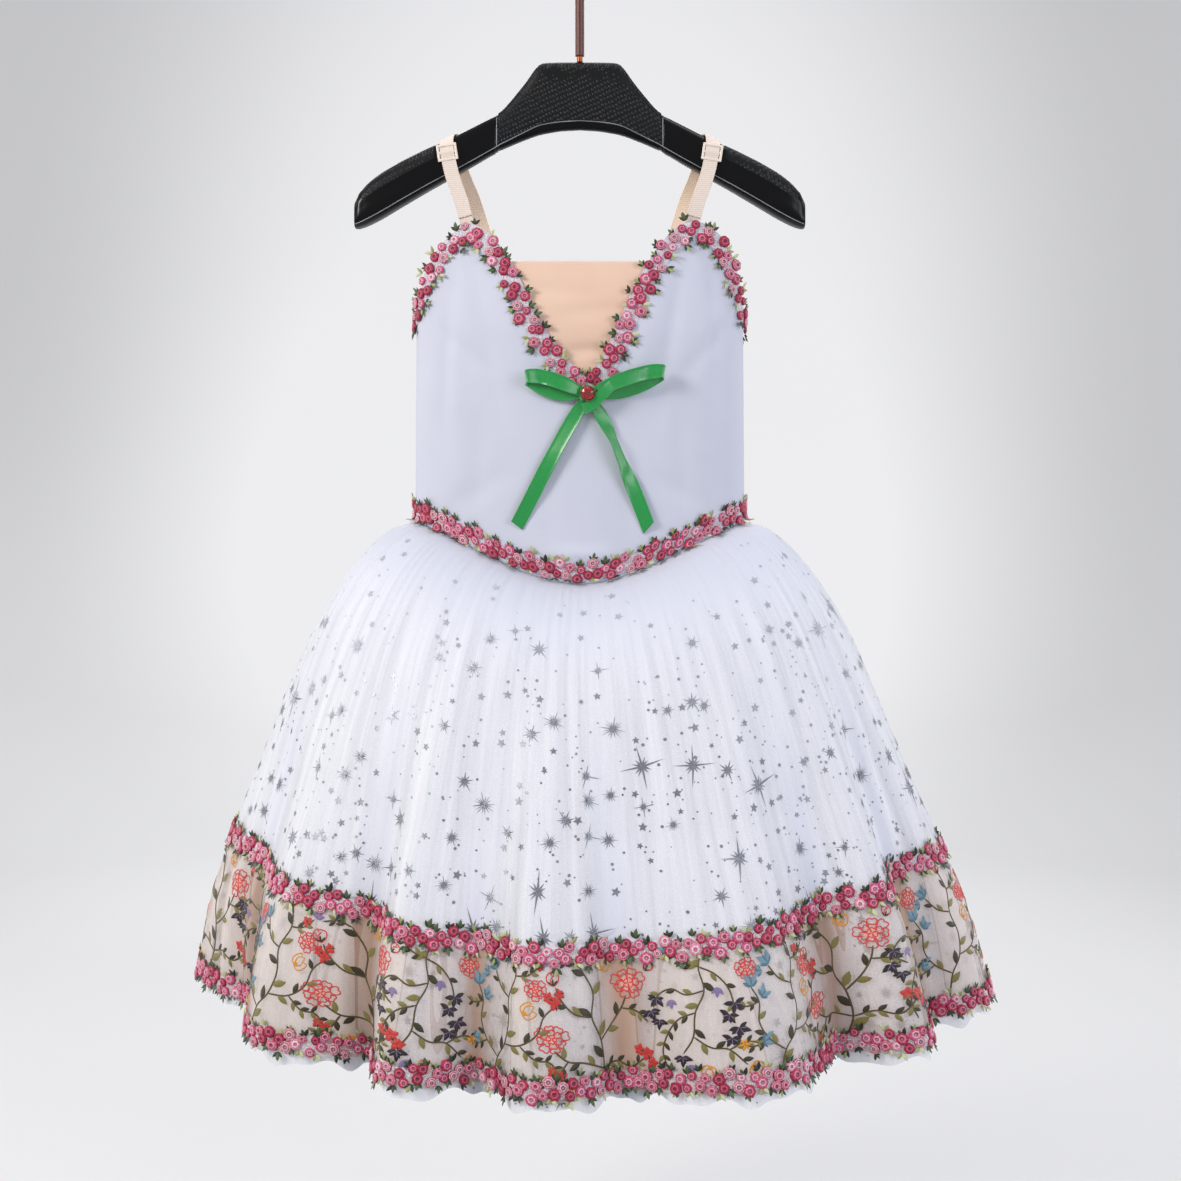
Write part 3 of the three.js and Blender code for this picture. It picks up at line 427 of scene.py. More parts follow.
def ribbed_profile(ribs, thick, rib_deep, steps):
    """The band's cut end: ribs along both faces, and thicker woven edges."""
    upper = []
    for across in np.linspace(-1, 1, ribs * steps + 1):
        rib = rib_deep * abs(math.sin(math.pi * ribs * (across + 1) / 2))
        edge = 0.14 * math.exp(-((abs(across) - 0.95) / 0.05) ** 2)
        upper.append((across, thick / 2 - rib_deep + rib + edge))
    return upper + [(a, -h) for a, h in reversed(upper)]


# Narrow rib-knit elastic in flesh tone: the ribs run along it, and short weft floats
# cross them every 0.9 mm. It is dull and soft-edged, with painted shade darkening the grooves a
# little.
rib_elastic, tree, shader, place = start_finish("flesh_tone_rib_elastic")
floats = add_node(tree, "ShaderNodeTexWave", {"wave_type": "BANDS", "bands_direction": "Z"}, {
    "Vector": place, "Scale": 1000 / FLOAT_EVERY / 6.28, "Distortion": 1.2, "Detail Scale": 2.0})
fuzz = add_node(tree, "ShaderNodeTexNoise", inputs={"Vector": place, "Scale": 900.0, "Detail": 2.0})
weft = add_node(tree, "ShaderNodeMath", {"operation": "MULTIPLY"}, {
    0: floats.outputs["Fac"], 1: fuzz})
tone = add_node(tree, "ShaderNodeMix", {"data_type": "RGBA"}, {
    0: weft, 6: "#E2D0C4", 7: "#F8ECE4"})
# Behind the hanger, where it lies in shade, the elastic is painted a warmer peach, as painted light
# shining through it.
place_parts = add_node(tree, "ShaderNodeSeparateXYZ", inputs={"Vector": place})
rear = add_node(tree, "ShaderNodeMapRange", inputs={
    "Value": place_parts.outputs["Y"], "From Min": 0.012, "From Max": 0.022})
peach_painted_glow = add_node(tree, "ShaderNodeMix", {"data_type": "RGBA"}, {0: rear, 6: tone, 7: "#FFE3C8"})
relief = add_node(tree, "ShaderNodeBump", inputs={
    "Height": weft, "Strength": 0.5, "Distance": 0.0004})
feed(shader, {"Base Color": peach_painted_glow, "Roughness": 0.68, "Sheen Weight": 0.2, "Normal": relief})

# Clear-coated nylon slider, flesh tone: smooth, with a faint mottle under the gloss.
slider_nylon, tree, shader, place = start_finish("flesh_tone_nylon_slider")
mottle = add_node(tree, "ShaderNodeTexNoise", inputs={
    "Vector": place, "Scale": 260.0, "Detail": 3.0})
tone = add_node(tree, "ShaderNodeMix", {"data_type": "RGBA"}, {
    0: mottle, 6: "#E6D2C2", 7: "#F6EADF"})
feed(shader, {"Base Color": tone, "Roughness": 0.26, "Coat Weight": 0.4})

SLIDER_HALF_WIDE, SLIDER_HALF_TALL, SLIDER_THICK = 9.0, 7.5, 1.8
SLOT_HALF_WIDE, SLOT_HALF_TALL, SLOT_MIDDLE = 6.7, 1.8, 3.4
# Half the elastic's thickness, and the room that it needs.
SLIDER_LIFT = 0.6 + 0.3


def slider_piece(name, mirror):
    """A slider of four round-edged bars round two slots, with the strap through it."""
    frames = strap_frames(mirror, 2, SLIDER_SHARE, SLIDER_SHARE + 0.01)
    at, way, wide, face = (row[0] for row in frames)
    out = face if face[1] < 0 else -face
    up = np.cross(out, wide)
    up = up if up[2] > 0 else -up
    base = at + out * (SLIDER_LIFT + SLIDER_THICK / 2)
    points, faces = [], []

    def bar(start, end, half_wide, half_deep):
        """A rounded bar between two places given across and up the slider."""
        a = base + wide * start[0] + up * start[1]
        b = base + wide * end[0] + up * end[1]
        way = unit(b - a)
        side = np.cross(out, way)
        sides = 12
        first = len(points)
        rings = [(0, 0.55), (0.25, 0.85), (0.7, 1), (1, 1)]
        spots = [(a + way * s * half_wide, k) for s, k in rings]
        spots += [(b - way * s * half_wide, k) for s, k in reversed(rings)]
        for spot, size in spots:
            for i in range(sides):
                turn = 2 * math.pi * (i + 0.5) / sides
                c, s = math.cos(turn), math.sin(turn)
                c = math.copysign(abs(c) ** 0.6, c)
                s = math.copysign(abs(s) ** 0.6, s)
                points.append(spot + side * half_wide * size * c + out * half_deep * size * s)
        for face_points in loft_faces(len(spots), sides):
            faces.append(tuple(first + i for i in face_points))

    edge = SLIDER_HALF_WIDE - SLOT_HALF_WIDE
    middle_bar = SLOT_MIDDLE - SLOT_HALF_TALL
    outer_bar = SLIDER_HALF_TALL - SLOT_MIDDLE - SLOT_HALF_TALL
    x = SLIDER_HALF_WIDE - edge / 2
    z = SLIDER_HALF_TALL - outer_bar / 2
    for sign in (-1, 1):
        bar((sign * x, -SLIDER_HALF_TALL), (sign * x, SLIDER_HALF_TALL), edge / 2, SLIDER_THICK / 2)
        bar((-SLIDER_HALF_WIDE, sign * z), (SLIDER_HALF_WIDE, sign * z), outer_bar / 2,
            SLIDER_THICK / 2.2)
    bar((-SLIDER_HALF_WIDE, 0), (SLIDER_HALF_WIDE, 0), middle_bar / 1.5, SLIDER_THICK / 2.4)
    return mesh_piece(name, points, faces, finish=slider_nylon)


for side, mirror in (("left", -1), ("right", 1)):
    strap = band(f"strap_elastic_{side}", strap_frames(mirror, 220), STRAP_WIDTH,
                 ribbed_profile(STRAP_RIBS, ELASTIC_THICK, 0.16, 4), rib_elastic)
    fit_to_frame(strap, "elastic", f"strap_{side}")
    # The doubled length passes over the slider's middle bar and is sewn to it below.
    at, way, wide, face = strap_frames(mirror, 60, 0.06, SLIDER_SHARE + 0.02)
    outward = np.where(face[:, 1:2] < 0, 1.0, -1.0) * face
    near = np.exp(-((np.linspace(0.06 - SLIDER_SHARE, 0.02, 60)) / 0.013) ** 2)[:, None]
    frames = (at + outward * (1.35 + 1.3 * near), way, wide, outward)
    doubled = band(f"strap_doubled_{side}", frames, STRAP_WIDTH * 0.98,
                   ribbed_profile(STRAP_RIBS, 0.9, 0.14, 4), rib_elastic)
    fit_to_frame(doubled, "elastic")
    slider = slider_piece(f"strap_slider_{side}", mirror)
    fit_to_frame(slider, "slider", f"slider_{side}")


# ---------------------------------
# Bodice: a matt white-lilac stretch knit, cut as one front with two rounded cups and a
# deep V, and one back with a shallow scoop, sewn together at the sides.

CLOTH = 1.2
WAIST_HALF_WIDTH = 148
WAIST_HALF_DEPTH = 62
WAIST_Z_SIDE = -508
WAIST_DIP_FRONT = 52
WAIST_DIP_BACK = 12
SECTION_POWER = 2.3
BODICE_TOP_HALF_WIDTH = 146
BUST_Z = -345
CUP_LEAN = 0.0235
FRONT_DEPTH_LOW, FRONT_DEPTH_BUST = 62, 59
BACK_DEPTH_LOW, BACK_DEPTH_TOP = 60, 54
# The neckline from the viewer's left to right: sideways place and height.
NECKLINE = np.array([
    (-146.5, -325), (-142, -300), (-132, -275), (-116, -255.5), (-97, -243), (-82, -251),
    (-67.5, -266.5), (-53, -291), (-35.5, -331), (-19.5, -353.5), (-4.5, -371.5), (7, -382.5),
    (20.5, -362.5), (34, -331), (49.5, -296), (66, -268.5), (83, -248), (100, -241),
    (116, -246.5), (131.5, -262.5), (141.5, -291), (146.5, -325)])
BACK_EDGE = np.array([
    (-146.5, -325), (-112, -307), (-68, -292), (-34, -298.5), (0, -301),
    (34, -298.5), (68, -292), (112, -307), (146.5, -325)])
# Soft creases of the front: start, end (sideways, height), half width and depth.
FRONT_CREASES = [
    ((-100, -256), (-66, -430), 8, 2.2), ((-112, -262), (-122, -450), 7, 1.7),
    ((94, -256), (66, -430), 8, 2.3), ((114, -258), (122, -420), 7, 1.8),
    ((-139, -322), (-70, -384), 8, 1.7), ((140, -322), (76, -396), 8, 1.8),
    ((-132, -505), (-50, -455), 10, 1.5), ((128, -500), (56, -462), 10, 1.5),
    ((-84, -380), (-92, -520), 9, 1.4), ((84, -360), (94, -520), 9, 1.5),
    ((-28, -430), (-24, -548), 10, 1.1), ((46, -410), (40, -540), 10, 1.2)]
FRONT_RIDGES = [
    ((-30, -533), (34, -534), 6, 3.0), ((-76, -276), (-30, -430), 10, 1.6),
    ((76, -276), (36, -430), 10, 1.6), ((-112, -300), (-104, -500), 9, 1.1),
    ((112, -300), (108, -500), 9, 1.2)]
BACK_CREASES = [
    ((-70, -305), (-50, -420), 10, 1.2), ((70, -305), (52, -430), 10, 1.2),
    ((-120, -350), (-30, -385), 11, 1.0), ((122, -352), (24, -400), 11, 1.1),
    ((-60, -500), (20, -470), 13, 0.9)]


def section(angle, half_width, half_depth, power):
    """Sideways and front-back places on a squared oval; angle 0 faces the viewer."""
    s, c = np.sin(angle), np.cos(angle)
    spread = (np.abs(s) ** power + np.abs(c) ** power) ** (-1 / power)
    return half_width * s * spread, -half_depth * c * spread


def body_point(angle, z):
    rise = np.clip((z - WAIST_Z_SIDE) / (BUST_Z - WAIST_Z_SIDE), 0, 1)
    width = mix(WAIST_HALF_WIDTH, BODICE_TOP_HALF_WIDTH, rise)
    front = mix(FRONT_DEPTH_LOW, FRONT_DEPTH_BUST, rise)
    front = front - CUP_LEAN * np.maximum(0, z - BUST_Z) ** 1.5
    back = mix(BACK_DEPTH_LOW, BACK_DEPTH_TOP, rise)
    deep = np.where(np.cos(angle) >= 0, front, back)
    x, y = section(angle, width, deep, SECTION_POWER)
    return np.stack([x, y, z + 0 * x], -1)


def normals_of(surface, u, v, du, dv):
    """Outward directions of surface(u, v), with u to the viewer's right and v downwards."""
    across = surface(u + du, v) - surface(u - du, v)
    down = surface(u, v + dv) - surface(u, v - dv)
    return unit(np.cross(down, across))


def body_out(angle, z, off):
    out = normals_of(lambda u, v: body_point(u, -v), angle, -z, 0.01, 2)
    return body_point(angle, z) + out * np.asarray(off)[..., None]


def waist_z(angle):
    s = np.abs(np.sin(angle))
    dip = (0.5 * (1 + np.cos(np.pi * s))) ** 0.8
    return WAIST_Z_SIDE - np.where(np.cos(angle) >= 0, WAIST_DIP_FRONT, WAIST_DIP_BACK) * dip


def rounded(table):
    """A finer copy of an edge's table with its corners rounded."""
    fine = read_at(np.linspace(0, 1, len(table) * 8), np.linspace(0, 1, len(table)), table)
    return soften(fine, 12)


NECK_FINE, BACK_FINE = rounded(NECKLINE), rounded(BACK_EDGE)


def edge_z(angle, front):
    side, _ = section(angle, BODICE_TOP_HALF_WIDTH, 1, SECTION_POWER)
    table = NECK_FINE if front else BACK_FINE
    return np.interp(side, table[:, 0], table[:, 1])


def crease_height(x, z, creases):
    """How deep soft straight creases dent a place: each is a trough that fades at its ends."""
    total = np.zeros(np.broadcast(x, z).shape)
    for (x0, z0), (x1, z1), wide, deep in creases:
        long = math.hypot(x1 - x0, z1 - z0)
        ax, az = (x1 - x0) / long, (z1 - z0) / long
        along = ((x - x0) * ax + (z - z0) * az) / long
        beside = (x - x0) * az - (z - z0) * ax
        fade = np.clip(1 - (2 * along - 1) ** 2, 0, 1) ** 1.2
        total += deep * fade * np.exp(-(beside / wide) ** 2)
    return total


def shell_piece(name, outer, inner, finish):
    """A thin cloth wall between two grids of places, closed all round its edges."""
    rows, width = outer.shape[0] - 1, outer.shape[1]
    count = outer.shape[0] * width
    faces = grid_faces(rows, width - 1, False)
    faces += [tuple(i + count for i in reversed(face)) for face in faces]
    for a in range(width - 1):
        low = rows * width + a
        faces.append((a, a + 1, a + 1 + count, a + count))
        faces.append((low + 1, low, low + count, low + 1 + count))
    for row in range(rows):
        a, b = row * width, (row + 1) * width
        c, d = a + width - 1, b + width - 1
        faces += [(b, a, a + count, b + count), (c, d, d + count, c + count)]
    points = np.concatenate([outer.reshape(-1, 3), inner.reshape(-1, 3)])
    return mesh_piece(name, points, faces, finish=finish)


def bodice_panel(name, front, columns, rows, finish):
    gap = 0.0012
    across = np.linspace(gap, 1 - gap, columns + 1)
    angle = np.radians(mix(-90, 90, across) if front else mix(90, 270, across))
    top = edge_z(angle, front)
    down = np.linspace(0, 1, rows + 1)[:, None] ** 1.15
    z = mix(top[None, :], waist_z(angle)[None, :], down)
    wide = np.broadcast_to(angle, z.shape)
    x = body_point(wide, z)[..., 0]
    if front:
        relief = crease_height(x, z, FRONT_RIDGES) - crease_height(x, z, FRONT_CREASES)
    else:
        relief = -crease_height(x, z, BACK_CREASES)
    # The cloth draws in a little where the seams hold it.
    relief -= 0.5 * np.exp(-((z - waist_z(wide)) / 9) ** 2)
    return shell_piece(name, body_out(wide, z, relief), body_out(wide, z, relief - CLOTH), finish)


# Matt stretch knit: elastane jersey, dyed white-lilac. Its rows of loops, really about
# 0.5 mm apart, are drawn 0.8 mm apart to show, and the cloth is brushed, so it has a soft edge.
KNIT_ROW = 0.8
stretch_knit, tree, shader, place = start_finish("white_lilac_stretch_knit")
loops = add_node(tree, "ShaderNodeTexWave", {"wave_type": "BANDS", "bands_direction": "Z"}, {
    "Vector": place, "Scale": 1000 / KNIT_ROW / 6.28, "Distortion": 0.6, "Detail Scale": 6.0})
ribs = add_node(tree, "ShaderNodeTexWave", {"wave_type": "BANDS", "bands_direction": "X"}, {
    "Vector": place, "Scale": 1000 / KNIT_ROW / 6.28, "Distortion": 0.4})
weave = add_node(tree, "ShaderNodeMath", {"operation": "MULTIPLY"}, {
    0: loops.outputs["Fac"], 1: ribs.outputs["Fac"]})
cloud = add_node(tree, "ShaderNodeTexNoise", inputs={"Vector": place, "Scale": 14.0, "Detail": 3.0})
tone = add_node(tree, "ShaderNodeMix", {"data_type": "RGBA"}, {
    0: cloud, 6: "#CCCFE0", 7: "#D8DAE9"})
thread = add_node(tree, "ShaderNodeMix", {"data_type": "RGBA", "blend_type": "MULTIPLY"}, {
    0: 0.05, 6: tone, 7: weave})
relief = add_node(tree, "ShaderNodeBump", inputs={
    "Height": weave, "Strength": 0.12, "Distance": 0.0002})
feed(shader, {
    "Base Color": thread, "Roughness": 0.72, "Sheen Weight": 0.25, "Sheen Roughness": 0.4,
    "Normal": relief})

for side, columns, rows, flat, area in (("front", 150, 90, (0.38, 0.33), 0.092),
                                        ("back", 110, 60, (0.36, 0.24), 0.077)):
    panel = bodice_panel(f"bodice_{side}_panel", side == "front", columns, rows, stretch_knit)
    fit_to_frame(panel, "bodice", f"bodice_{side}")


# ---------------------------------
# Neck insert: a skin-tone stretch knit, sewn inside the V so that it fills it up to a
# straight top edge, and drawn into a few level folds.

INSERT_TOP_Z = -278
INSERT_LOW_Z = -392
INSERT_UNDERLAP = 9
INSERT_BEHIND = 1.0
# How far below its top edge, and where its two sides run.
INSERT_SIDES = np.array([(0, -59, 59), (13, -53, 50), (53, -35.5, 34), (75, -20, 25),
                         (93, -4.5, 16), (114, 0, 12)], float)
INSERT_CREASES = [((-70, -300), (24, -308), 7, 1.1), ((-26, -326), (56, -317), 8, 1.5),
                  ((-24, -360), (30, -353), 5.5, 2.2)]


def angle_at(x, z):
    """The body's angle that lies at a sideways place x at height z, on the front."""
    angle = np.arcsin(np.clip(x / BODICE_TOP_HALF_WIDTH, -1, 1))
    for _ in range(8):
        angle = angle - (body_point(angle, z)[..., 0] - x) / BODICE_TOP_HALF_WIDTH
    return angle


drop = np.linspace(0, INSERT_TOP_Z - INSERT_LOW_Z, 61)[:, None]
left = np.interp(drop, INSERT_SIDES[:, 0], INSERT_SIDES[:, 1]) - INSERT_UNDERLAP
right = np.interp(drop, INSERT_SIDES[:, 0], INSERT_SIDES[:, 2]) + INSERT_UNDERLAP
x = mix(left, right, np.linspace(0, 1, 61)[None, :])
z = INSERT_TOP_Z - drop + 0 * x
angle = angle_at(x, z)
relief = -CLOTH - INSERT_BEHIND - crease_height(x, z, INSERT_CREASES)

# Skin-tone power net lining: a smooth, faintly lustrous knit.
skin_knit, tree, shader, place = start_finish("skin_tone_stretch_knit")
loops = add_node(tree, "ShaderNodeTexWave", {"wave_type": "BANDS", "bands_direction": "Z"}, {
    "Vector": place, "Scale": 1000 / KNIT_ROW / 6.28, "Distortion": 0.5})
cloud = add_node(tree, "ShaderNodeTexNoise", inputs={"Vector": place, "Scale": 22.0})
tone = add_node(tree, "ShaderNodeMix", {"data_type": "RGBA"}, {
    0: cloud, 6: "#E3BEA6", 7: "#ECCCB8"})
relief_bump = add_node(tree, "ShaderNodeBump", inputs={
    "Height": loops.outputs["Fac"], "Strength": 0.12, "Distance": 0.0002})
feed(shader, {"Base Color": tone, "Roughness": 0.55, "Sheen Weight": 0.2, "Normal": relief_bump})

insert = shell_piece("neck_insert_panel", body_out(angle, z, relief),
                     body_out(angle, z, relief - CLOTH), skin_knit)
fit_to_frame(insert, "insert", "neck_insert")


# ---------------------------------
# Petticoat and star net: two layers of soft white net, gathered hard into the waist seam
# and falling in a dozen deep folds. The outer net is printed with silver foil stars.

HEM_HALF_WIDTH = 360
HEM_HALF_DEPTH = 292
HEM_Z_SIDE = -930
HEM_DROP_FRONT = 34
HEM_DROP_BACK = 10
HEM_SHIFT_X = 15
SEAM_GAP = 0.3
FOLD_START = 0.22
FOLD_OVERHANG = 0.24
# Where each valley between two folds lies, in degrees from the front, and its depth.
VALLEYS = np.array([
    (-170, 46), (-141, 56), (-113, 48), (-67, 42), (-36, 56), (-17, 46), (4, 42), (40, 58),
    (59, 48), (88, 40), (119, 56), (149, 50)], float)
FOLD_ENDS = np.concatenate([VALLEYS[-1:] - [360, 0], VALLEYS, VALLEYS[:1] + [360, 0]])
PETTICOAT_INSET = 9
NET_COLUMNS = 660
NET_ROWS = 72
NET_CELL = 1.3


def fold_at(turn):
    """The fold that a turn lies in: its two valleys, and the share of the way between them."""
    wrapped = (turn + 180) % 360 - 180
    fold = np.searchsorted(FOLD_ENDS[:, 0], wrapped, side="right") - 1
    fold = np.clip(fold, 0, len(FOLD_ENDS) - 2)
    low, high = FOLD_ENDS[fold], FOLD_ENDS[fold + 1]
    return low, high, (wrapped - low[..., 0]) / (high[..., 0] - low[..., 0])


def skirt_point(turn, down):
    """The skirt's form: turn in degrees, 0 in front, and down from 0, the waist, to 1, the hem."""
    turn, down = np.broadcast_arrays(np.asarray(turn, float), np.asarray(down, float))
    low, high, share = fold_at(turn)
    fall = np.maximum(down, 0) ** 1.2
    spread = fall ** 0.56 + 0.03 * np.sin(np.pi * np.clip((fall - 0.5) / 0.5, 0, 1))
    grow = np.maximum(0, (down - FOLD_START) / (1 - FOLD_START)) ** 1.6
    dip = mix(low[..., 1], high[..., 1], share) * grow * 0.5 * (1 + np.cos(2 * np.pi * share))
    lean = FOLD_OVERHANG * grow * np.sin(2 * np.pi * share) / (2 * np.pi)
    angle = np.radians(mix(low[..., 0], high[..., 0], share - lean))
    half_width = mix(WAIST_HALF_WIDTH, HEM_HALF_WIDTH, spread)
    half_depth = mix(WAIST_HALF_DEPTH, HEM_HALF_DEPTH, spread)
    x, y = section(angle, half_width, half_depth, mix(SECTION_POWER, 2, np.clip(spread * 2, 0, 1)))
    out_x, out_y = np.sin(angle) / half_width, -np.cos(angle) / half_depth
    long = np.hypot(out_x, out_y)
    front, rear = np.maximum(np.cos(angle), 0), np.maximum(-np.cos(angle), 0)
    hem = HEM_Z_SIDE - HEM_DROP_FRONT * front ** 1.2 - HEM_DROP_BACK * rear
    return np.stack([x - out_x / long * dip + HEM_SHIFT_X * down * down,
                     y - out_y / long * dip, mix(waist_z(angle) - SEAM_GAP, hem, fall)], -1)


def skirt_normal(turn, down):
    out = normals_of(skirt_point, turn, np.maximum(down, 0.02), 0.8, 0.015)
    return np.where(np.asarray(down)[..., None] < 0.02, unit(out * [1, 1, 0]), out)


def valley_depth(turn, down):
    """How deep in a valley between two folds a place lies: 0 on a ridge and 1 at the bottom."""
    share = fold_at(turn + 0 * down)[2]
    return (0.5 + 0.5 * np.cos(2 * np.pi * share)) ** 5


def gathers(turn, down):
    """Heights of the small gathers: fine pleats at the waist, then soft uneven flutes."""
    t = np.radians(turn)
    fine = np.cos(97 * t + 3.6 * np.sin(7 * t) + 2.4 * np.sin(17 * t + 1))
    fine = fine * (0.8 + 0.6 * np.sin(23 * t + 2)) + 0.5 * np.sin(151 * t + 3 * np.sin(13 * t))
    start = np.clip(down / 0.03, 0.3, 1)
    pleats = 0.4 * fine * np.clip(1 - down / 0.6, 0, 1) ** 1.4 * start
    grow = np.clip((down - 0.08) / 0.5, 0, 1)
    flutes = (1.3 * np.sin(37 * t + 1.7 * np.sin(5 * t) + 2.6 * down)
              + 0.8 * np.sin(61 * t + 2 * np.sin(9 * t + 1)))
    return pleats + flutes * grow * (0.75 + 0.25 * np.sin(11 * t + 4 * down))


fine_turns = np.linspace(-180, 180, 7201)
SKIRT_SHARES = distances(skirt_point(fine_turns, 0.85))
SKIRT_SHARES /= SKIRT_SHARES[-1]
even_mix = 0.5 * SKIRT_SHARES + 0.5 * (fine_turns + 180) / 360
net_turns = np.interp(np.arange(NET_COLUMNS) / NET_COLUMNS, even_mix, fine_turns)


def share_of(turn):
    """The share of the way round the skirt's cloth, 0 to 1, at a turn in degrees."""
    return np.interp(turn, fine_turns, SKIRT_SHARES)


def mark(mesh, label, kind, values, domain="POINT"):
    """Writes an attribute on a mesh, with one value for each point or face."""
    data = mesh.attributes.new(label, kind, domain).data
    kinds = {"FLOAT_VECTOR": "vector", "FLOAT_COLOR": "color"}
    data.foreach_set(kinds.get(kind, "value"), np.ravel(values))


def ring_piece(name, places, shares, finish, outward=None, valley=None):
    """A cloth of one surface that closes round: its "cloth" map runs round and down."""
    rows, width = places.shape[:2]
    faces = grid_faces(rows - 1, width, True)
    piece = mesh_piece(name, places.reshape(-1, 3), faces, finish=finish)
    u = np.append(shares, shares[0] + 1)
    v = np.linspace(0, 1, rows)
    row, column = np.divmod(np.arange((rows - 1) * width), width)
    corners = np.stack([u[column], v[row], u[column], v[row + 1],
                        u[column + 1], v[row + 1], u[column + 1], v[row]], 1)
    piece.data.uv_layers.new(name="cloth").data.foreach_set("uv", corners.ravel())
    if outward is not None:
        mark(piece.data, "outward", "FLOAT_VECTOR", outward)
    if valley is not None:
        mark(piece.data, "valley", "FLOAT", valley)
    return piece


def soft_net(name, white, shade, cover, thin_cover, deep, bands=0.0):
    """Fine net: its streaks are the long pleats, where two layers of threads lie closer, and
    tint it from white to a painted shade; the valleys between the big folds are closed by
    several layers of net and painted darker as shade, and bands close it in broad pleats
    too, each edged with a painted line of shade."""
    finish, tree, shader, place = start_finish(name)
    cloth = add_node(tree, "ShaderNodeUVMap", {"uv_map": "cloth"})
    long_way = add_node(tree, "ShaderNodeMapping", inputs={
        "Vector": cloth, "Scale": (150.0, 1.6, 1.0)})
    streaks = add_node(tree, "ShaderNodeTexNoise", inputs={
        "Vector": long_way, "Scale": 1.0, "Detail": 4.0, "Roughness": 0.62})
    threads = add_node(tree, "ShaderNodeTexVoronoi", {"feature": "DISTANCE_TO_EDGE"}, {
        "Vector": place, "Scale": 1000 / NET_CELL})
    mesh_lines = add_node(tree, "ShaderNodeMapRange", inputs={
        "Value": threads, "From Min": 0.02, "From Max": 0.16,
        "To Min": 1.0, "To Max": 0.0})
    thick = add_node(tree, "ShaderNodeMapRange", inputs={
        "Value": streaks, "From Min": 0.3, "From Max": 0.7,
        "To Min": thin_cover, "To Max": cover})
    valley = add_node(tree, "ShaderNodeAttribute", {"attribute_name": "valley"})
    closed = add_node(tree, "ShaderNodeMath", {"operation": "MULTIPLY_ADD"}, {
        0: valley.outputs["Fac"], 1: 0.4, 2: thick})
    pleat_way = add_node(tree, "ShaderNodeMapping", inputs={
        "Vector": cloth, "Scale": (34.0, 0.2, 1.0)})
    pleats = add_node(tree, "ShaderNodeTexNoise", inputs={
        "Vector": pleat_way, "Scale": 1.0, "Detail": 1.0})
    doubled = add_node(tree, "ShaderNodeMapRange", inputs={
        "Value": pleats, "From Min": 0.47, "From Max": 0.53,
        "To Min": -bands, "To Max": bands})
    closed = add_node(tree, "ShaderNodeMath", {"operation": "ADD"}, {0: closed, 1: doubled})
    both = add_node(tree, "ShaderNodeMath", {"operation": "MULTIPLY_ADD", "use_clamp": True}, {
        0: mesh_lines, 1: 0.12, 2: closed})
    tone = add_node(tree, "ShaderNodeMix", {"data_type": "RGBA"}, {
        0: streaks, 6: shade, 7: white})
    # Painted shade: a dark line at each broad pleat's edge, and the valleys darkened toward the
    # deep colour.
    pleat_edge = add_node(tree, "ShaderNodeMath", {"operation": "COMPARE"}, {
        0: pleats, 1: 0.5, 2: 0.006})
    fold_painted_shade = add_node(tree, "ShaderNodeMath", {"operation": "MULTIPLY_ADD", "use_clamp": True}, {
        0: pleat_edge, 1: 4 * bands, 2: valley.outputs["Fac"]})
    tone_with_painted_shade = add_node(tree, "ShaderNodeMix", {"data_type": "RGBA"}, {
        0: fold_painted_shade, 6: tone, 7: deep})
    relief = add_node(tree, "ShaderNodeBump", inputs={
        "Height": streaks, "Strength": 0.22, "Distance": 0.0012})
    feed(shader, {
        "Alpha": both, "Base Color": tone_with_painted_shade, "Normal": relief, "Roughness": 0.6,
        "Sheen Weight": 0.3})
    return finish


# Plain petticoat net: soft white nylon, a hexagon mesh, seen through the outer layer.
petticoat_net = soft_net("plain_white_net", "#F2F2F7", "#E4E5EE", 0.96, 0.86, "#D2D4E2")
# Star net: the same soft nylon net, a little bluer, printed afterwards.
star_net_cloth = soft_net("star_net_white", "#F4F4FA", "#E6E8F2", 0.84, 0.62, "#CDD0E0")

down = np.linspace(0, 1, NET_ROWS + 1)[:, None]
hem_wave = (0.006 * np.sin(np.radians(net_turns * 47))
            + 0.004 * np.sin(np.radians(net_turns * 83 + 40)))
ragged = down - np.clip((down - 0.9) / 0.1, 0, 1) * (0.006 + hem_wave)
net_out = skirt_normal(net_turns, down)
net_places = (skirt_point(net_turns, ragged)
              + net_out * (0.2 + gathers(net_turns, down))[..., None])
# Its valley values close the net and darken it as painted shade in the valleys between the folds
# and near the waist, where it is gathered in many layers.
star_net = ring_piece("star_net_skirt", net_places, share_of(net_turns), star_net_cloth, net_out,
                      0.8 * valley_depth(net_turns, down) * np.clip(down * 2 - 0.5, 0, 1)
                      + 0.95 * np.exp(-(down / 0.22) ** 2))
fit_to_frame(star_net, "star_net", "skirt_front", "skirt_back")

under_down = mix(0.02, 0.983, down[::2])
under_turns = net_turns[::2]
inset = mix(2.6, PETTICOAT_INSET, np.clip(under_down / 0.3 - 0.2, 0, 1))
under_places = (skirt_point(under_turns, under_down) + skirt_normal(under_turns, under_down)
                * (0.7 * gathers(under_turns, under_down) - inset)[..., None])
petticoat = ring_piece("petticoat_net_layer", under_places, share_of(under_turns), petticoat_net)
fit_to_frame(petticoat, "plain_net", "petticoat")


# ---------------------------------
# Foil stars: silver foil pressed on the outer net, in bursts, five-pointed stars and dots.
# Each is a flat leaf of foil a few hundredths of a millimetre thick.

STAR_SEED = 41
BURSTS = 350
SMALL_STARS = 620
FOIL_DOTS = 2600
FOIL_LIFT = 0.25
# About how far the net's cloth reaches round and down, for distances on its map.
NET_ROUND, NET_LONG = 2600, 480
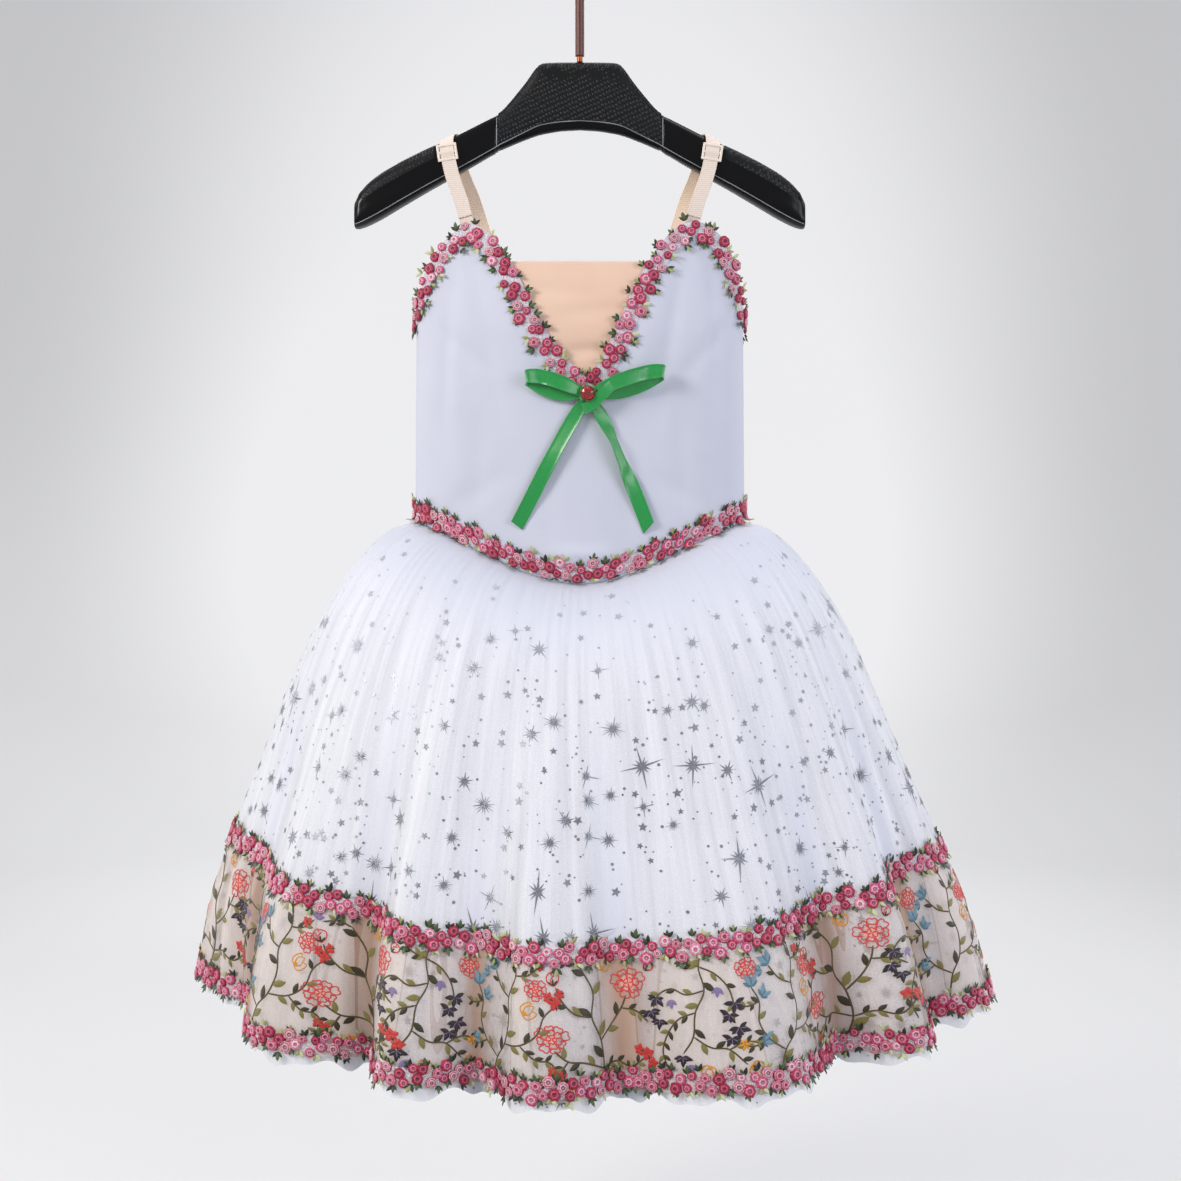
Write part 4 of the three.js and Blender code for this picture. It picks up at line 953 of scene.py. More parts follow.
# What a spot says of its motif: where it lies on the cloth's map, how many of the map's
# units a metre is, its spin, its size, and which motif it is.
SPOT_MARKS = (("home", "FLOAT_VECTOR"), ("ease", "FLOAT_VECTOR"), ("spin", "FLOAT"),
              ("size", "FLOAT"), ("pick", "INT"))
CLOTH_MARKS = (("cloth", "FLOAT_VECTOR"), ("outward", "FLOAT_VECTOR"))


def lay_on_cloth_tree():
    """Lays one motif on the cloth for each point, bent to follow the cloth's surface."""
    tree = bpy.data.node_groups.new("lay_on_cloth", "GeometryNodeTree")
    for label, kind in (("Spots", "NodeSocketGeometry"), ("Motifs", "NodeSocketCollection"),
                        ("Cloth", "NodeSocketObject"), ("Lift", "NodeSocketFloat"),
                        ("Finish", "NodeSocketMaterial")):
        tree.interface.new_socket(label, in_out="INPUT", socket_type=kind)
    tree.interface.new_socket("Laid", in_out="OUTPUT", socket_type="NodeSocketGeometry")
    given = add_node(tree, "NodeGroupInput").outputs
    marked = {label: add_node(tree, "GeometryNodeInputNamedAttribute", {"data_type": kind},
                              {"Name": label}) for label, kind in SPOT_MARKS + CLOTH_MARKS}
    motifs = add_node(tree, "GeometryNodeCollectionInfo", inputs={
        "Collection": given["Motifs"], "Separate Children": True, "Reset Children": True})
    spin = add_node(tree, "ShaderNodeCombineXYZ", inputs={"Z": marked["spin"]})
    copies = add_node(tree, "GeometryNodeInstanceOnPoints", inputs={
        "Points": given["Spots"], "Instance": motifs, "Pick Instance": True,
        "Instance Index": marked["pick"], "Rotation": spin, "Scale": marked["size"]})
    solid = add_node(tree, "GeometryNodeRealizeInstances", inputs={"Geometry": copies})
    # Each copy is made round the centre, so a point's place is its own place on the motif.
    place = add_node(tree, "GeometryNodeInputPosition")
    local = add_node(tree, "ShaderNodeSeparateXYZ", inputs={"Vector": place})
    ease = add_node(tree, "ShaderNodeVectorMath", {"operation": "MULTIPLY_ADD"}, {
        0: place, 1: marked["ease"], 2: marked["home"]})
    on_cloth = add_node(tree, "ShaderNodeSeparateXYZ", inputs={"Vector": ease})
    round_way = add_node(tree, "ShaderNodeMath", {"operation": "FRACT"}, {0: on_cloth.outputs["X"]})
    down_way = add_node(tree, "ShaderNodeClamp", inputs={
        "Value": on_cloth.outputs["Y"], "Min": 0.001, "Max": 0.999})
    spot = add_node(tree, "ShaderNodeCombineXYZ", inputs={"X": round_way, "Y": down_way})
    cloth = add_node(tree, "GeometryNodeObjectInfo", inputs={"Object": given["Cloth"]})
    on_face, outward = (
        add_node(tree, "GeometryNodeSampleUVSurface", {"data_type": "FLOAT_VECTOR"}, {
            "Mesh": cloth.outputs["Geometry"], "Value": value,
            "Source UV Map": marked["cloth"], "Sample UV": spot})
        for value in (place, marked["outward"]))
    height = add_node(tree, "ShaderNodeMath", {"operation": "ADD"}, {
        0: local.outputs["Z"], 1: given["Lift"]})
    out = add_node(tree, "ShaderNodeVectorMath", {"operation": "SCALE"}, {
        0: outward, "Scale": height})
    final = add_node(tree, "ShaderNodeVectorMath", {"operation": "ADD"}, {0: on_face, 1: out})
    moved = add_node(tree, "GeometryNodeSetPosition", inputs={
        "Geometry": solid, "Position": final})
    dressed = add_node(tree, "GeometryNodeSetMaterial", inputs={
        "Geometry": moved, "Material": given["Finish"]})
    add_node(tree, "NodeGroupOutput", inputs={"Laid": dressed})
    return tree


lay_on_cloth = lay_on_cloth_tree()


def grid_reach(places, shares):
    """How many metres one unit of the cloth's map is worth, round and down, on a grid."""
    u = np.concatenate([shares[-1:] - 1, shares, shares[:1] + 1])
    wide = np.concatenate([places[:, -1:], places, places[:, :1]], 1)
    across = np.linalg.norm(wide[:, 2:] - wide[:, :-2], axis=-1) / (u[2:] - u[:-2])
    downward = np.linalg.norm(np.gradient(places, 1 / (len(places) - 1), axis=0), axis=-1)
    for _ in range(6):
        across = (np.roll(across, 1, 1) + across + np.roll(across, -1, 1)) / 3
    return across * MM, downward * MM


def lay_motifs(name, motifs, cloth, places, shares, spots, lift, finish):
    """Lays motifs on a cloth; spots holds round, down, spin, size and pick for each one."""
    across, downward = grid_reach(places, shares)
    round_way = np.array([s[0] for s in spots]) % 1
    down_way = np.array([s[1] for s in spots])
    column = np.searchsorted(shares, round_way) % len(shares)
    row = np.clip(np.rint(down_way * (len(places) - 1)).astype(int), 0, len(places) - 1)
    ease = np.stack([1 / across[row, column], -1 / downward[row, column], 0 * round_way], 1)
    mesh = bpy.data.meshes.new(name + "_spots")
    mesh.from_pydata([(0, 0, 0)] * len(spots), [], [])
    home = np.stack([round_way, down_way, 0 * round_way], 1)
    told = [home, ease] + [[s[i] for s in spots] for i in (2, 3, 4)]
    for (label, kind), values in zip(SPOT_MARKS, told):
        mark(mesh, label, kind, values)
    group = bpy.data.collections.new(name + "_motifs")
    for motif in motifs:
        bpy.context.scene.collection.objects.unlink(motif)
        group.objects.link(motif)
    bpy.context.scene.collection.children.link(group)
    carrier = put_in_scene(name + "_carrier", mesh)
    layer = carrier.modifiers.new("lay", "NODES")
    layer.node_group = lay_on_cloth
    named = {item.name: item.identifier for item in lay_on_cloth.interface.items_tree}
    for label, value in (("Motifs", group), ("Cloth", cloth), ("Lift", lift * MM),
                         ("Finish", finish)):
        layer[named[label]] = value
    graph = bpy.context.evaluated_depsgraph_get()
    laid = bpy.data.meshes.new_from_object(carrier.evaluated_get(graph), depsgraph=graph)
    laid.name = name
    bpy.data.objects.remove(carrier)
    for motif in motifs:
        bpy.data.objects.remove(motif)
    bpy.data.collections.remove(group)
    return put_in_scene(name, laid)


def flat_star(name, rays, hub):
    """A flat star of foil: rays as (angle in degrees, length in mm), and the hub's radius."""
    points, faces = [(0, 0, 0.06)], []
    count = len(rays)
    for i, (angle, length) in enumerate(rays):
        before = rays[i - 1][0] - (360 if i == 0 else 0)
        notch = math.radians((before + angle) / 2)
        points.append((hub * math.cos(notch), hub * math.sin(notch), 0.04))
        tip = math.radians(angle)
        points.append((length * math.cos(tip), length * math.sin(tip), 0.02))
    for i in range(count):
        notch, tip = 1 + 2 * i, 2 + 2 * i
        after = 1 + 2 * ((i + 1) % count)
        faces += [(0, notch, tip), (0, tip, after)]
    return mesh_piece(name, points, faces, smooth=False)


luck = np.random.default_rng(STAR_SEED)
star_motifs = []
# Bursts: four long rays crossed with short ones, and round bursts of many uneven rays.
for kind, (count, long, short, hub) in enumerate([
        (12, 0.82, 0.36, 0.14), (14, 0.58, 0.42, 0.16), (16, 0.66, 0.5, 0.15),
        (10, 0.68, 0.46, 0.18), (12, 0.62, 0.38, 0.18)]):
    rays = []
    for i in range(count):
        cross = i % (count // 4 if kind == 0 else 2) == 0
        length = (long if cross else short) * (1 + 0.28 * (luck.random() - 0.5))
        rays.append((360 * i / count + 9 * (luck.random() - 0.5), 10 * length))
    star_motifs.append(flat_star(f"motif_{kind}_burst", rays, 10 * hub))
star_motifs.append(flat_star("motif_5_star", [(72 * i + 18, 3.5) for i in range(5)], 1.6))
star_motifs.append(flat_star("motif_6_dot", [(60 * i, 1.3) for i in range(6)], 1.2))

spots = []
taken = []


def free_spot(low, high, apart):
    """A random place on the net that keeps its distance from the bigger stars."""
    for _ in range(60):
        share, drop = luck.random(), math.sqrt(mix(low * low, high * high, luck.random()))
        x, z = share * NET_ROUND, drop * NET_LONG
        if all((x - a) ** 2 + (z - b) ** 2 > (apart + c) ** 2 for a, b, c in taken):
            return share, drop, x, z
    return share, drop, x, z


for i in range(BURSTS):
    share, drop, x, z = free_spot(0.12, 0.985, 9)
    big = luck.random()
    size = 0.95 + 0.75 * big + (0.6 if big > 0.9 else 0)
    pick = 0 if size > 2 or luck.random() < 0.2 else 1 + int(luck.integers(4))
    taken.append((x, z, 8 * size))
    spots.append((share, drop, (luck.random() - 0.5) * 0.7, size, pick))
for i in range(SMALL_STARS):
    share, drop, x, z = free_spot(0.03, 0.99, 5)
    taken.append((x, z, 2))
    spots.append((share, drop, luck.random() * 6.28, 0.75 + 0.5 * luck.random(), 5))
for i in range(FOIL_DOTS):
    share, drop = luck.random(), math.sqrt(mix(0.001, 0.99, luck.random()))
    spots.append((share, drop, luck.random() * 6.28, 0.45 + 0.75 * luck.random() ** 2, 6))

# Pressed silver foil: a grey metal skin, crinkled by the net under it, worn to bare net
# threads in places.
silver_foil, tree, shader, place = start_finish("pressed_silver_foil")
crinkle = add_node(tree, "ShaderNodeTexNoise", inputs={
    "Vector": place, "Scale": 700.0, "Detail": 3.0})
tone = add_node(tree, "ShaderNodeMix", {"data_type": "RGBA"}, {
    0: crinkle, 6: "#565962", 7: "#A2A5AF"})
# Near the waist the foil is painted pale grey-white, a painted highlight for its glints there.
height = add_node(tree, "ShaderNodeSeparateXYZ", inputs={"Vector": place})
waist_glint = add_node(tree, "ShaderNodeMapRange", inputs={
    "Value": height.outputs["Z"], "From Min": -0.7, "From Max": -0.56, "To Max": 0.6})
pale = add_node(tree, "ShaderNodeMix", {"data_type": "RGBA"}, {
    0: waist_glint, 6: tone, 7: "#DFE2EC"})
rough = add_node(tree, "ShaderNodeMapRange", inputs={
    "Value": crinkle, "To Min": 0.28, "To Max": 0.55})
relief = add_node(tree, "ShaderNodeBump", inputs={
    "Height": crinkle, "Strength": 0.4, "Distance": 0.0004})
feed(shader, {"Base Color": pale, "Metallic": 0.5, "Roughness": rough, "Normal": relief})

stars = lay_motifs("foil_stars", star_motifs, star_net, net_places, share_of(net_turns), spots,
                   FOIL_LIFT, silver_foil)
fit_to_frame(stars, "star_net")


# ---------------------------------
# Flounce: a ring of skin-tone net, gathered on to the skirt three quarters of the way
# down, hanging free to the hem over the star net, which shows through it.

FLOUNCE_TOP_FRONT = 0.742
FLOUNCE_TOP_SIDE = 0.705
FLOUNCE_END = 0.978
FLOUNCE_LIFT = 3.2
FLOUNCE_LIE = 0.85
FLOUNCE_ROWS = 30


def flounce_top(turn):
    return mix(FLOUNCE_TOP_FRONT, FLOUNCE_TOP_SIDE, np.sin(np.radians(turn)) ** 2)


def flounce_off(turn, down):
    """How far the flounce's face stands off the skirt's form."""
    share = (down - flounce_top(turn)) / (FLOUNCE_END - flounce_top(turn))
    return FLOUNCE_LIE + FLOUNCE_LIFT * np.clip(2 * share, 0, 1) + gathers(turn, down)


# Its deep tan is painted shade in the valleys between the folds and along the edges of its broad
# pleats.
flounce_net = soft_net("skin_tone_net", "#F3E6DF", "#E6D6CD", 0.56, 0.38, "#B3917E", 0.11)
flounce_down = mix(flounce_top(net_turns), FLOUNCE_END,
                   np.linspace(0, 1, FLOUNCE_ROWS + 1)[:, None])
flounce_out = skirt_normal(net_turns, flounce_down)
flounce_places = (skirt_point(net_turns, flounce_down)
                  + flounce_out * flounce_off(net_turns, flounce_down)[..., None])
flounce = ring_piece("embroidered_flounce", flounce_places, share_of(net_turns), flounce_net,
                     flounce_out, valley_depth(net_turns, flounce_down))
fit_to_frame(flounce, "flounce_net", "flounce_front", "flounce_back")


# ---------------------------------
# Embroidery: raised cotton stitching on the flounce, in three sprays that take turns:
# coral blossoms, dark tufts with mustard flowers, and blue sprigs with red buds.

OLIVE, OLIVE_DARK, OLIVE_PALE = "#54471F", "#332D12", "#80763C"
CORAL, CORAL_PALE, RED_BUD = "#D6423E", "#E9A79B", "#C8302B"
MUSTARD, AUBERGINE, LILAC, SLATE = "#DE9426", "#21101D", "#86739F", "#4E7488"
STEM_WIDE, STEM_TALL = 1.45, 0.55
LINE_WIDE, LINE_TALL = 1.0, 0.5


class Stitching:
    """Gathers stitched shapes of one motif: their points, faces and thread colours."""

    def __init__(self):
        self.points, self.faces, self.colours = [], [], []

    def add(self, points, faces, colour):
        first = len(self.points)
        self.points += [tuple(p) for p in points]
        self.faces += [tuple(first + i for i in face) for face in faces]
        self.colours += [linear(colour)] * len(points)

    def line(self, points, wide, tall, colour, steps=5):
        """A raised line of stitches through the points, tapered at its ends."""
        flat = [(x, y, 0) for x, y in points]
        line, along = smooth_path(flat, max(4, steps * (len(points) - 1) + 1))
        side = np.stack([-along[:, 1], along[:, 0], 0 * along[:, 0]], 1)
        steps = np.arange(len(line))
        size = np.clip(np.minimum(steps, steps[::-1]) / 1.5 + 0.5, 0, 1)
        made = []
        for at, out, s in zip(line, side, size):
            made += [at - out * wide * s / 2, at + [0, 0, tall * s], at + out * wide * s / 2]
        self.add(made, grid_faces(len(line) - 1, 2, False), colour)

    def leaf(self, x, y, angle, long, colour, wide=0.42):
        """A satin-stitched leaf that starts at x, y: two slopes that meet at a middle rib."""
        c, s = math.cos(math.radians(angle)), math.sin(math.radians(angle))
        made = []
        for share, half in ((0, 0.05), (0.25, 0.8), (0.5, 1), (0.75, 0.72), (1, 0.03)):
            for side, height in ((-1, 0.05), (0, 0.7), (1, 0.05)):
                a, b = long * share, side * half * long * wide / 2
                made.append((x + a * c - b * s, y + a * s + b * c, height * (0.4 + 0.6 * half)))
        self.add(made, [face[::-1] for face in grid_faces(4, 2, False)], colour)

    def petal_ring(self, x, y, inner, outer, count, colour, turn=0.0):
        """A ring of outlined petals between two radii, uneven, each with a scalloped edge."""
        for i in range(count):
            start = turn + 2 * math.pi * i / count
            step = 2 * math.pi / count * (0.9 + 0.1 * math.sin(3 * i + turn))
            far = outer * (1 + 0.11 * math.sin(2.4 * i + 5 * turn))
            points = []
            for share, reach in ((0.12, 0), (0, 0.6), (0.12, 0.96), (0.32, 1.04), (0.5, 0.86),
                                 (0.68, 1.04), (0.9, 0.94), (1, 0.55), (0.86, 0)):
                angle = start + step * share
                radius = mix(inner, far, reach)
                points.append((x + 1.06 * radius * math.cos(angle),
                               y + 0.94 * radius * math.sin(angle)))
            self.line(points, LINE_WIDE, LINE_TALL, colour, steps=2)

    def filled(self, x, y, radius, lobes, colour, height=0.45, turn=0.0):
        """A small filled blossom of satin stitch with rounded lobes."""
        made = [(x, y, height * 0.6)]
        count = lobes * 4
        for ring, high in ((0.6, height), (1.0, 0.05)):
            for i in range(count):
                angle = turn + 2 * math.pi * i / count
                r = radius * ring * (0.62 + 0.42 * abs(math.cos(lobes / 2 * (angle - turn))) ** 0.6)
                made.append((x + r * math.cos(angle), y + r * math.sin(angle), high))
        faces = []
        for i in range(count):
            a, b = 1 + i, 1 + (i + 1) % count
            faces += [(0, a, b), (a, a + count, b + count, b)]
        self.add(made, faces, colour)

    def piece(self, name):
        made = mesh_piece(name, self.points, self.faces)
        mark(made.data, "colour", "FLOAT_COLOR", self.colours)
        return made


def turned(x, y, angle, size, points):
    """Points drawn along a level line, turned by an angle and set at x, y."""
    c, s = math.cos(math.radians(angle)), math.sin(math.radians(angle))
    return [(x + size * (a * c - b * s), y + size * (a * s + b * c)) for a, b in points]


def carnation(work, x, y, angle, size):
    work.filled(x, y, size * 0.5, 6, CORAL_PALE, 0.1, 0.2)
    turn = math.radians(angle)
    work.petal_ring(x, y, size * 0.56, size, 8, CORAL, turn)
    work.petal_ring(x, y, size * 0.26, size * 0.66, 6, CORAL, turn + 0.6)
    work.petal_ring(x, y, size * 0.03, size * 0.32, 4, CORAL, turn + 0.1)


def rosebud(work, x, y, angle, size):
    for petal in ([(0, 0), (0.3, 0.42), (0.8, 0.48), (1.12, 0.12), (0.8, 0.04)],
                  [(0, 0), (0.35, -0.42), (0.85, -0.45), (1.12, 0.12)],
                  [(0.2, 0), (0.5, 0.22), (0.85, -0.16)]):
        work.line(turned(x, y, angle, size, petal), LINE_WIDE, LINE_TALL, CORAL, 3)
    for lean in (-50, -8, 40):
        work.leaf(x - 0.1 * size, y, angle + lean, size * 0.6, OLIVE_DARK, 0.3)


def tulip(work, x, y, angle, size):
    """A mustard cup: an outer line, two inner petals and a few filled stitches below."""
    for petal in ([(0, 0.1), (0.1, 0.5), (0.6, 0.62), (1.1, 0.5), (0.86, 0.3), (1.15, 0.06),
                   (0.8, -0.1), (1.05, -0.46), (0.5, -0.6), (0.08, -0.46), (0, 0.1)],
                  [(0.2, 0.1), (0.5, 0.36), (0.86, 0.3)], [(0.2, 0), (0.5, -0.3), (0.8, -0.1)]):
        work.line(turned(x, y, angle, size, petal), LINE_WIDE * 1.15, LINE_TALL, MUSTARD, 2)
    for lean in (-36, 0, 36):
        work.leaf(x, y, angle + lean, size * 0.42, MUSTARD, 0.4)


def tuft(work, x, y, angle, size):
    """A dark blossom with a ragged fringe of petals, and paler ones where it opens."""
    for i in range(9):
        lean = -100 + 25 * i
        work.leaf(x, y, angle + lean, size * (1.15 + 0.4 * math.sin(4 * i + x)), AUBERGINE, 0.42)
    for lean in (-60, 8, 66):
        work.leaf(x, y, angle + lean, size * 0.95, LILAC, 0.3)


def lilac_bell(work, x, y, angle, size):
    for lean in (-40, 0, 44):
        work.leaf(x, y, angle + lean, size * (1.2 - 0.004 * abs(lean)), LILAC, 0.46)


def sprig(work, x, y, angle, size):
    for i, lean in enumerate((-64, -34, -8, 22, 54)):
        reach = size * (0.9, 1.3, 1.0, 1.45, 0.9)[i]
        work.leaf(x + 1.2 * i % 2, y, angle + lean, reach, (SLATE, "#6E93A3")[i % 2], 0.4)


def red_bloom(work, x, y, angle, size):
    for i in range(5):
        work.leaf(x, y, angle + 72 * i, size * (1.2 + 0.3 * math.sin(3 * i)), RED_BUD, 0.8)
    work.leaf(x, y, angle - 100, size * 1.2, OLIVE_DARK, 0.3)


def orange_bloom(work, x, y, angle, size):
    for i in range(6):
        work.leaf(x, y, angle + 60 * i, size * (1.1 + 0.25 * math.cos(2 * i)), MUSTARD, 0.6)


def stem_leaves(work, points, gap, long, pair):
    """Leaves set along a stem every few millimetres: in pairs, or on one side and the other."""
    line, along = smooth_path([(x, y, 0) for x, y in points], 80)
    far = distances(line)[-1]
    for i in range(1, int(far / gap) + 1):
        at = min(79, int(79 * (i * gap - 0.3 * gap) / far))
        heading = math.degrees(math.atan2(along[at][1], along[at][0]))
        for way in ((1, -1) if pair else ((-1) ** i,)):
            shade = (OLIVE, OLIVE_DARK, OLIVE_PALE)[(3 * i + way) % 3]
            work.leaf(line[at][0], line[at][1], heading + way * (44 + 9 * math.sin(5 * i)),
                      1.25 * long * (1 - 0.2 * at / 79), shade, 0.46)


def spray(name, stems, blooms):
    """One spray: stems as (points, leaf spacing, leaf length, in pairs), then its blooms."""
    work = Stitching()
    for points, gap, long, pair in stems:
        work.line(points, STEM_WIDE, STEM_TALL, OLIVE, 6)
        stem_leaves(work, points, gap, long, pair)
    for bloom, x, y, angle, size in blooms:
        bloom(work, x, y, angle, size)
    return work.piece(name)


sprays = [
    spray("motif_0_coral_spray", [
        ([(-2, -56), (5, -38), (3, -16), (-5, 2), (-3, 22), (-14, 42)], 17, 12, False),
        ([(3, -16), (16, -4), (25, 8), (29, 18)], 15, 10, False),
        ([(5, -38), (-12, -32), (-25, -30), (-35, -22)], 13, 9, False),
        ([(-5, 2), (-20, 6), (-31, 17), (-35, 26)], 14, 9, False),
        ([(5, -38), (20, -34), (34, -38), (46, -30)], 10, 7, True),
        ([(-14, 42), (-24, 46), (-36, 44)], 8, 6.5, True),
        ([(25, 8), (38, 6), (48, -2)], 9, 7, True),
        ([(-25, -30), (-34, -42), (-44, -46)], 8, 7, True)],
        [(carnation, 31, 28, 10, 12.5), (carnation, -37, -13, 40, 11), (rosebud, -36, 27, 105, 10),
         (rosebud, 45, 38, 60, 8), (red_bloom, 48, -27, 30, 4.6), (red_bloom, 41, -24, 80, 4.2),
         (red_bloom, 52, -34, 10, 4), (tulip, 8, 38, 70, 10), (orange_bloom, -22, -50, 20, 5),
         (red_bloom, -48, 42, 50, 3.8)]),
    spray("motif_1_bell_spray", [
        ([(12, 58), (5, 40), (8, 20), (-1, 2), (-4, -18), (-13, -32)], 20, 11, False),
        ([(8, 20), (-8, 17), (-21, 22), (-33, 17), (-38, 6)], 16, 8, False),
        ([(5, 40), (19, 33), (29, 21), (32, 6), (30, -8)], 17, 8, False),
        ([(-4, -18), (10, -27), (24, -29), (37, -42)], 12, 9, False),
        ([(-1, 2), (-15, -3), (-25, -14), (-31, -30), (-28, -44)], 11, 7.5, True),
        ([(5, 40), (-8, 44), (-20, 52)], 9, 7, True),
        ([(24, -29), (38, -24), (50, -26)], 9, 6.5, True)],
        [(tuft, 33, 8, -80, 6.4), (tuft, 27, -1, -110, 6), (tuft, 34, -12, -70, 6.8),
         (tuft, 27, -20, -100, 5.6),
         (tuft, -35, 14, -100, 6.2), (tuft, -40, 3, -70, 6.4), (tuft, -33, -5, -95, 5.6),
         (tuft, -14, -35, -90, 6), (lilac_bell, -8, -41, -80, 8), (lilac_bell, 20, 22, -100, 7.5),
         (lilac_bell, -22, 13, -85, 7), (tulip, 40, -43, -40, 10.5), (tulip, 8, -42, -110, 9),
         (sprig, -24, 53, 130, 9), (sprig, 51, -25, 10, 8), (carnation, 48, 34, 0, 9.5)]),
    spray("motif_2_sprig_spray", [
        ([(-19, -58), (-12, -38), (0, -24), (6, -5), (4, 15), (12, 34), (9, 52)], 18, 11, False),
        ([(-12, -38), (-26, -27), (-34, -12), (-32, 5), (-38, 18)], 14, 9, False),
        ([(4, 15), (-9, 21), (-18, 34)], 12, 8, False),
        ([(0, -24), (18, -22), (32, -12), (38, 3), (48, 12)], 14, 9, False),
        ([(18, -22), (30, -32), (42, -34), (50, -46)], 9, 7, True),
        ([(-26, -27), (-40, -32), (-50, -30)], 9, 7, True),
        ([(12, 34), (24, 36), (34, 44)], 9, 7, True),
        ([(-32, 5), (-44, 2), (-52, 6)], 8, 6, True)],
        [(sprig, -38, 18, 100, 10), (sprig, -30, 9, 50, 8), (sprig, -18, 35, 125, 9.5),
         (sprig, -26, 30, 170, 7),
         (red_bloom, 48, 14, 20, 5), (red_bloom, 42, 19, 70, 4.4), (red_bloom, 52, 22, 110, 4.2),
         (red_bloom, 50, -45, -60, 4.6), (red_bloom, 44, -41, 10, 4), (rosebud, 9, 50, 95, 10),
         (tulip, 20, 4, 30, 11), (orange_bloom, -48, -30, 10, 5.4), (lilac_bell, 36, 45, 60, 8),
         (carnation, 31, 25, 25, 9)]),
]


# Mercerised cotton embroidery thread: its colour comes from the stitched shape, and short
# satin stitches about 0.4 mm apart catch the light across each shape.
cotton, tree, shader, place = start_finish("satin_stitched_cotton")
thread_colour = add_node(tree, "ShaderNodeAttribute", {"attribute_name": "colour"})
slant = add_node(tree, "ShaderNodeMapping", inputs={
    "Vector": place, "Rotation": (0.5, 0.3, 0.7), "Scale": (1.0, 0.35, 1.0)})
stitches = add_node(tree, "ShaderNodeTexNoise", inputs={
    "Vector": slant, "Scale": 1900.0, "Detail": 2.0})
# Each stitch is painted a little lighter or darker, as a painted highlight and shade.
shade = add_node(tree, "ShaderNodeMapRange", inputs={
    "Value": stitches, "From Min": 0.3, "From Max": 0.7, "To Min": 0.72, "To Max": 1.18})
lit = add_node(tree, "ShaderNodeVectorMath", {"operation": "SCALE"}, {
    0: thread_colour, "Scale": shade})
relief = add_node(tree, "ShaderNodeBump", inputs={
    "Height": stitches, "Strength": 0.6, "Distance": 0.0004})
feed(shader, {"Base Color": lit, "Roughness": 0.46, "Sheen Weight": 0.15, "Normal": relief})

SPRAY_EVERY = 82
SPRAY_SEED = 19
flounce_reach = grid_reach(flounce_places, share_of(net_turns))[0]
spray_count = int(flounce_reach[FLOUNCE_ROWS // 2].mean() / MM / SPRAY_EVERY)
luck = np.random.default_rng(SPRAY_SEED)
spots = []
for i in range(spray_count):
    spots.append(((i + 0.5 + 0.16 * (luck.random() - 0.5)) / spray_count,
                  0.47 + 0.03 * (luck.random() - 0.5), 0.16 * (luck.random() - 0.5),
                  0.94 + 0.1 * luck.random(), i % 3))
embroidery = lay_motifs("flounce_embroidery", sprays, flounce, flounce_places,
                        share_of(net_turns), spots, 0.15, cotton)
fit_to_frame(embroidery, "flounce_net")


# ---------------------------------
# Rose braid: a net tape with crocheted rosettes in six pinks, set in two staggered rows
# with leaves at both edges. One length each for neck, waist, flounce seam and hem.

ROSE_RADIUS = 5.0
# Colours of each kind of rosette: its petals, the grooves between them in painted shade, and the
# light, partly paler thread and partly painted highlight.
ROSE_TONES = [
    ("#A81440", "#5E0A28", "#CF5475"), ("#BC1E4C", "#780F33", "#E07F9B"),
    ("#C9315F", "#8A173E", "#E99DB3"), ("#D65080", "#9C234E", "#F0B4C6"),
    ("#E68FAA", "#BE3F69", "#FADCE4"), ("#BE234F", "#6E0F31", "#F2BFCD")]
# Rings of a rosette from its edge in: radius, height and which tone (petals, painted groove shade,
# light).
ROSE_RINGS = [(1.0, 0.0, 1), (1.0, 0.42, 0), (0.84, 0.78, 0), (0.68, 0.56, 0), (0.56, 0.86, 2),
              (0.42, 0.94, 2), (0.25, 0.62, 1)]
ROSE_PETALS = 7
ROSE_TALL = 3.3
# How common each rosette is, then the leaf clusters: two tones, each leaf's lean and length.
ROSE_SHARES = [0.24, 0.24, 0.18, 0.12, 0.07, 0.15]
LEAF_CLUSTERS = [
    (("#2A3F20", "#53653A"), [(-44, 5.6), (-2, 7.2), (40, 5.6)]),
    (("#A0A668", "#CBCFA2"), [(-34, 6), (30, 6.8)]),
    (("#1A2413", "#3A4A2C"), [(-24, 6.8), (22, 6), (60, 4.8)]),
    (("#2A3F20", "#A0A668"), [(-46, 5.4), (-6, 6.6), (34, 5.8)])]
LEAF_SHARES = [0.34, 0.26, 0.2, 0.2]
MEANDER_WIDE, MEANDER_LONG = 2.6, 27.0
TAPE_CELL = 1.6


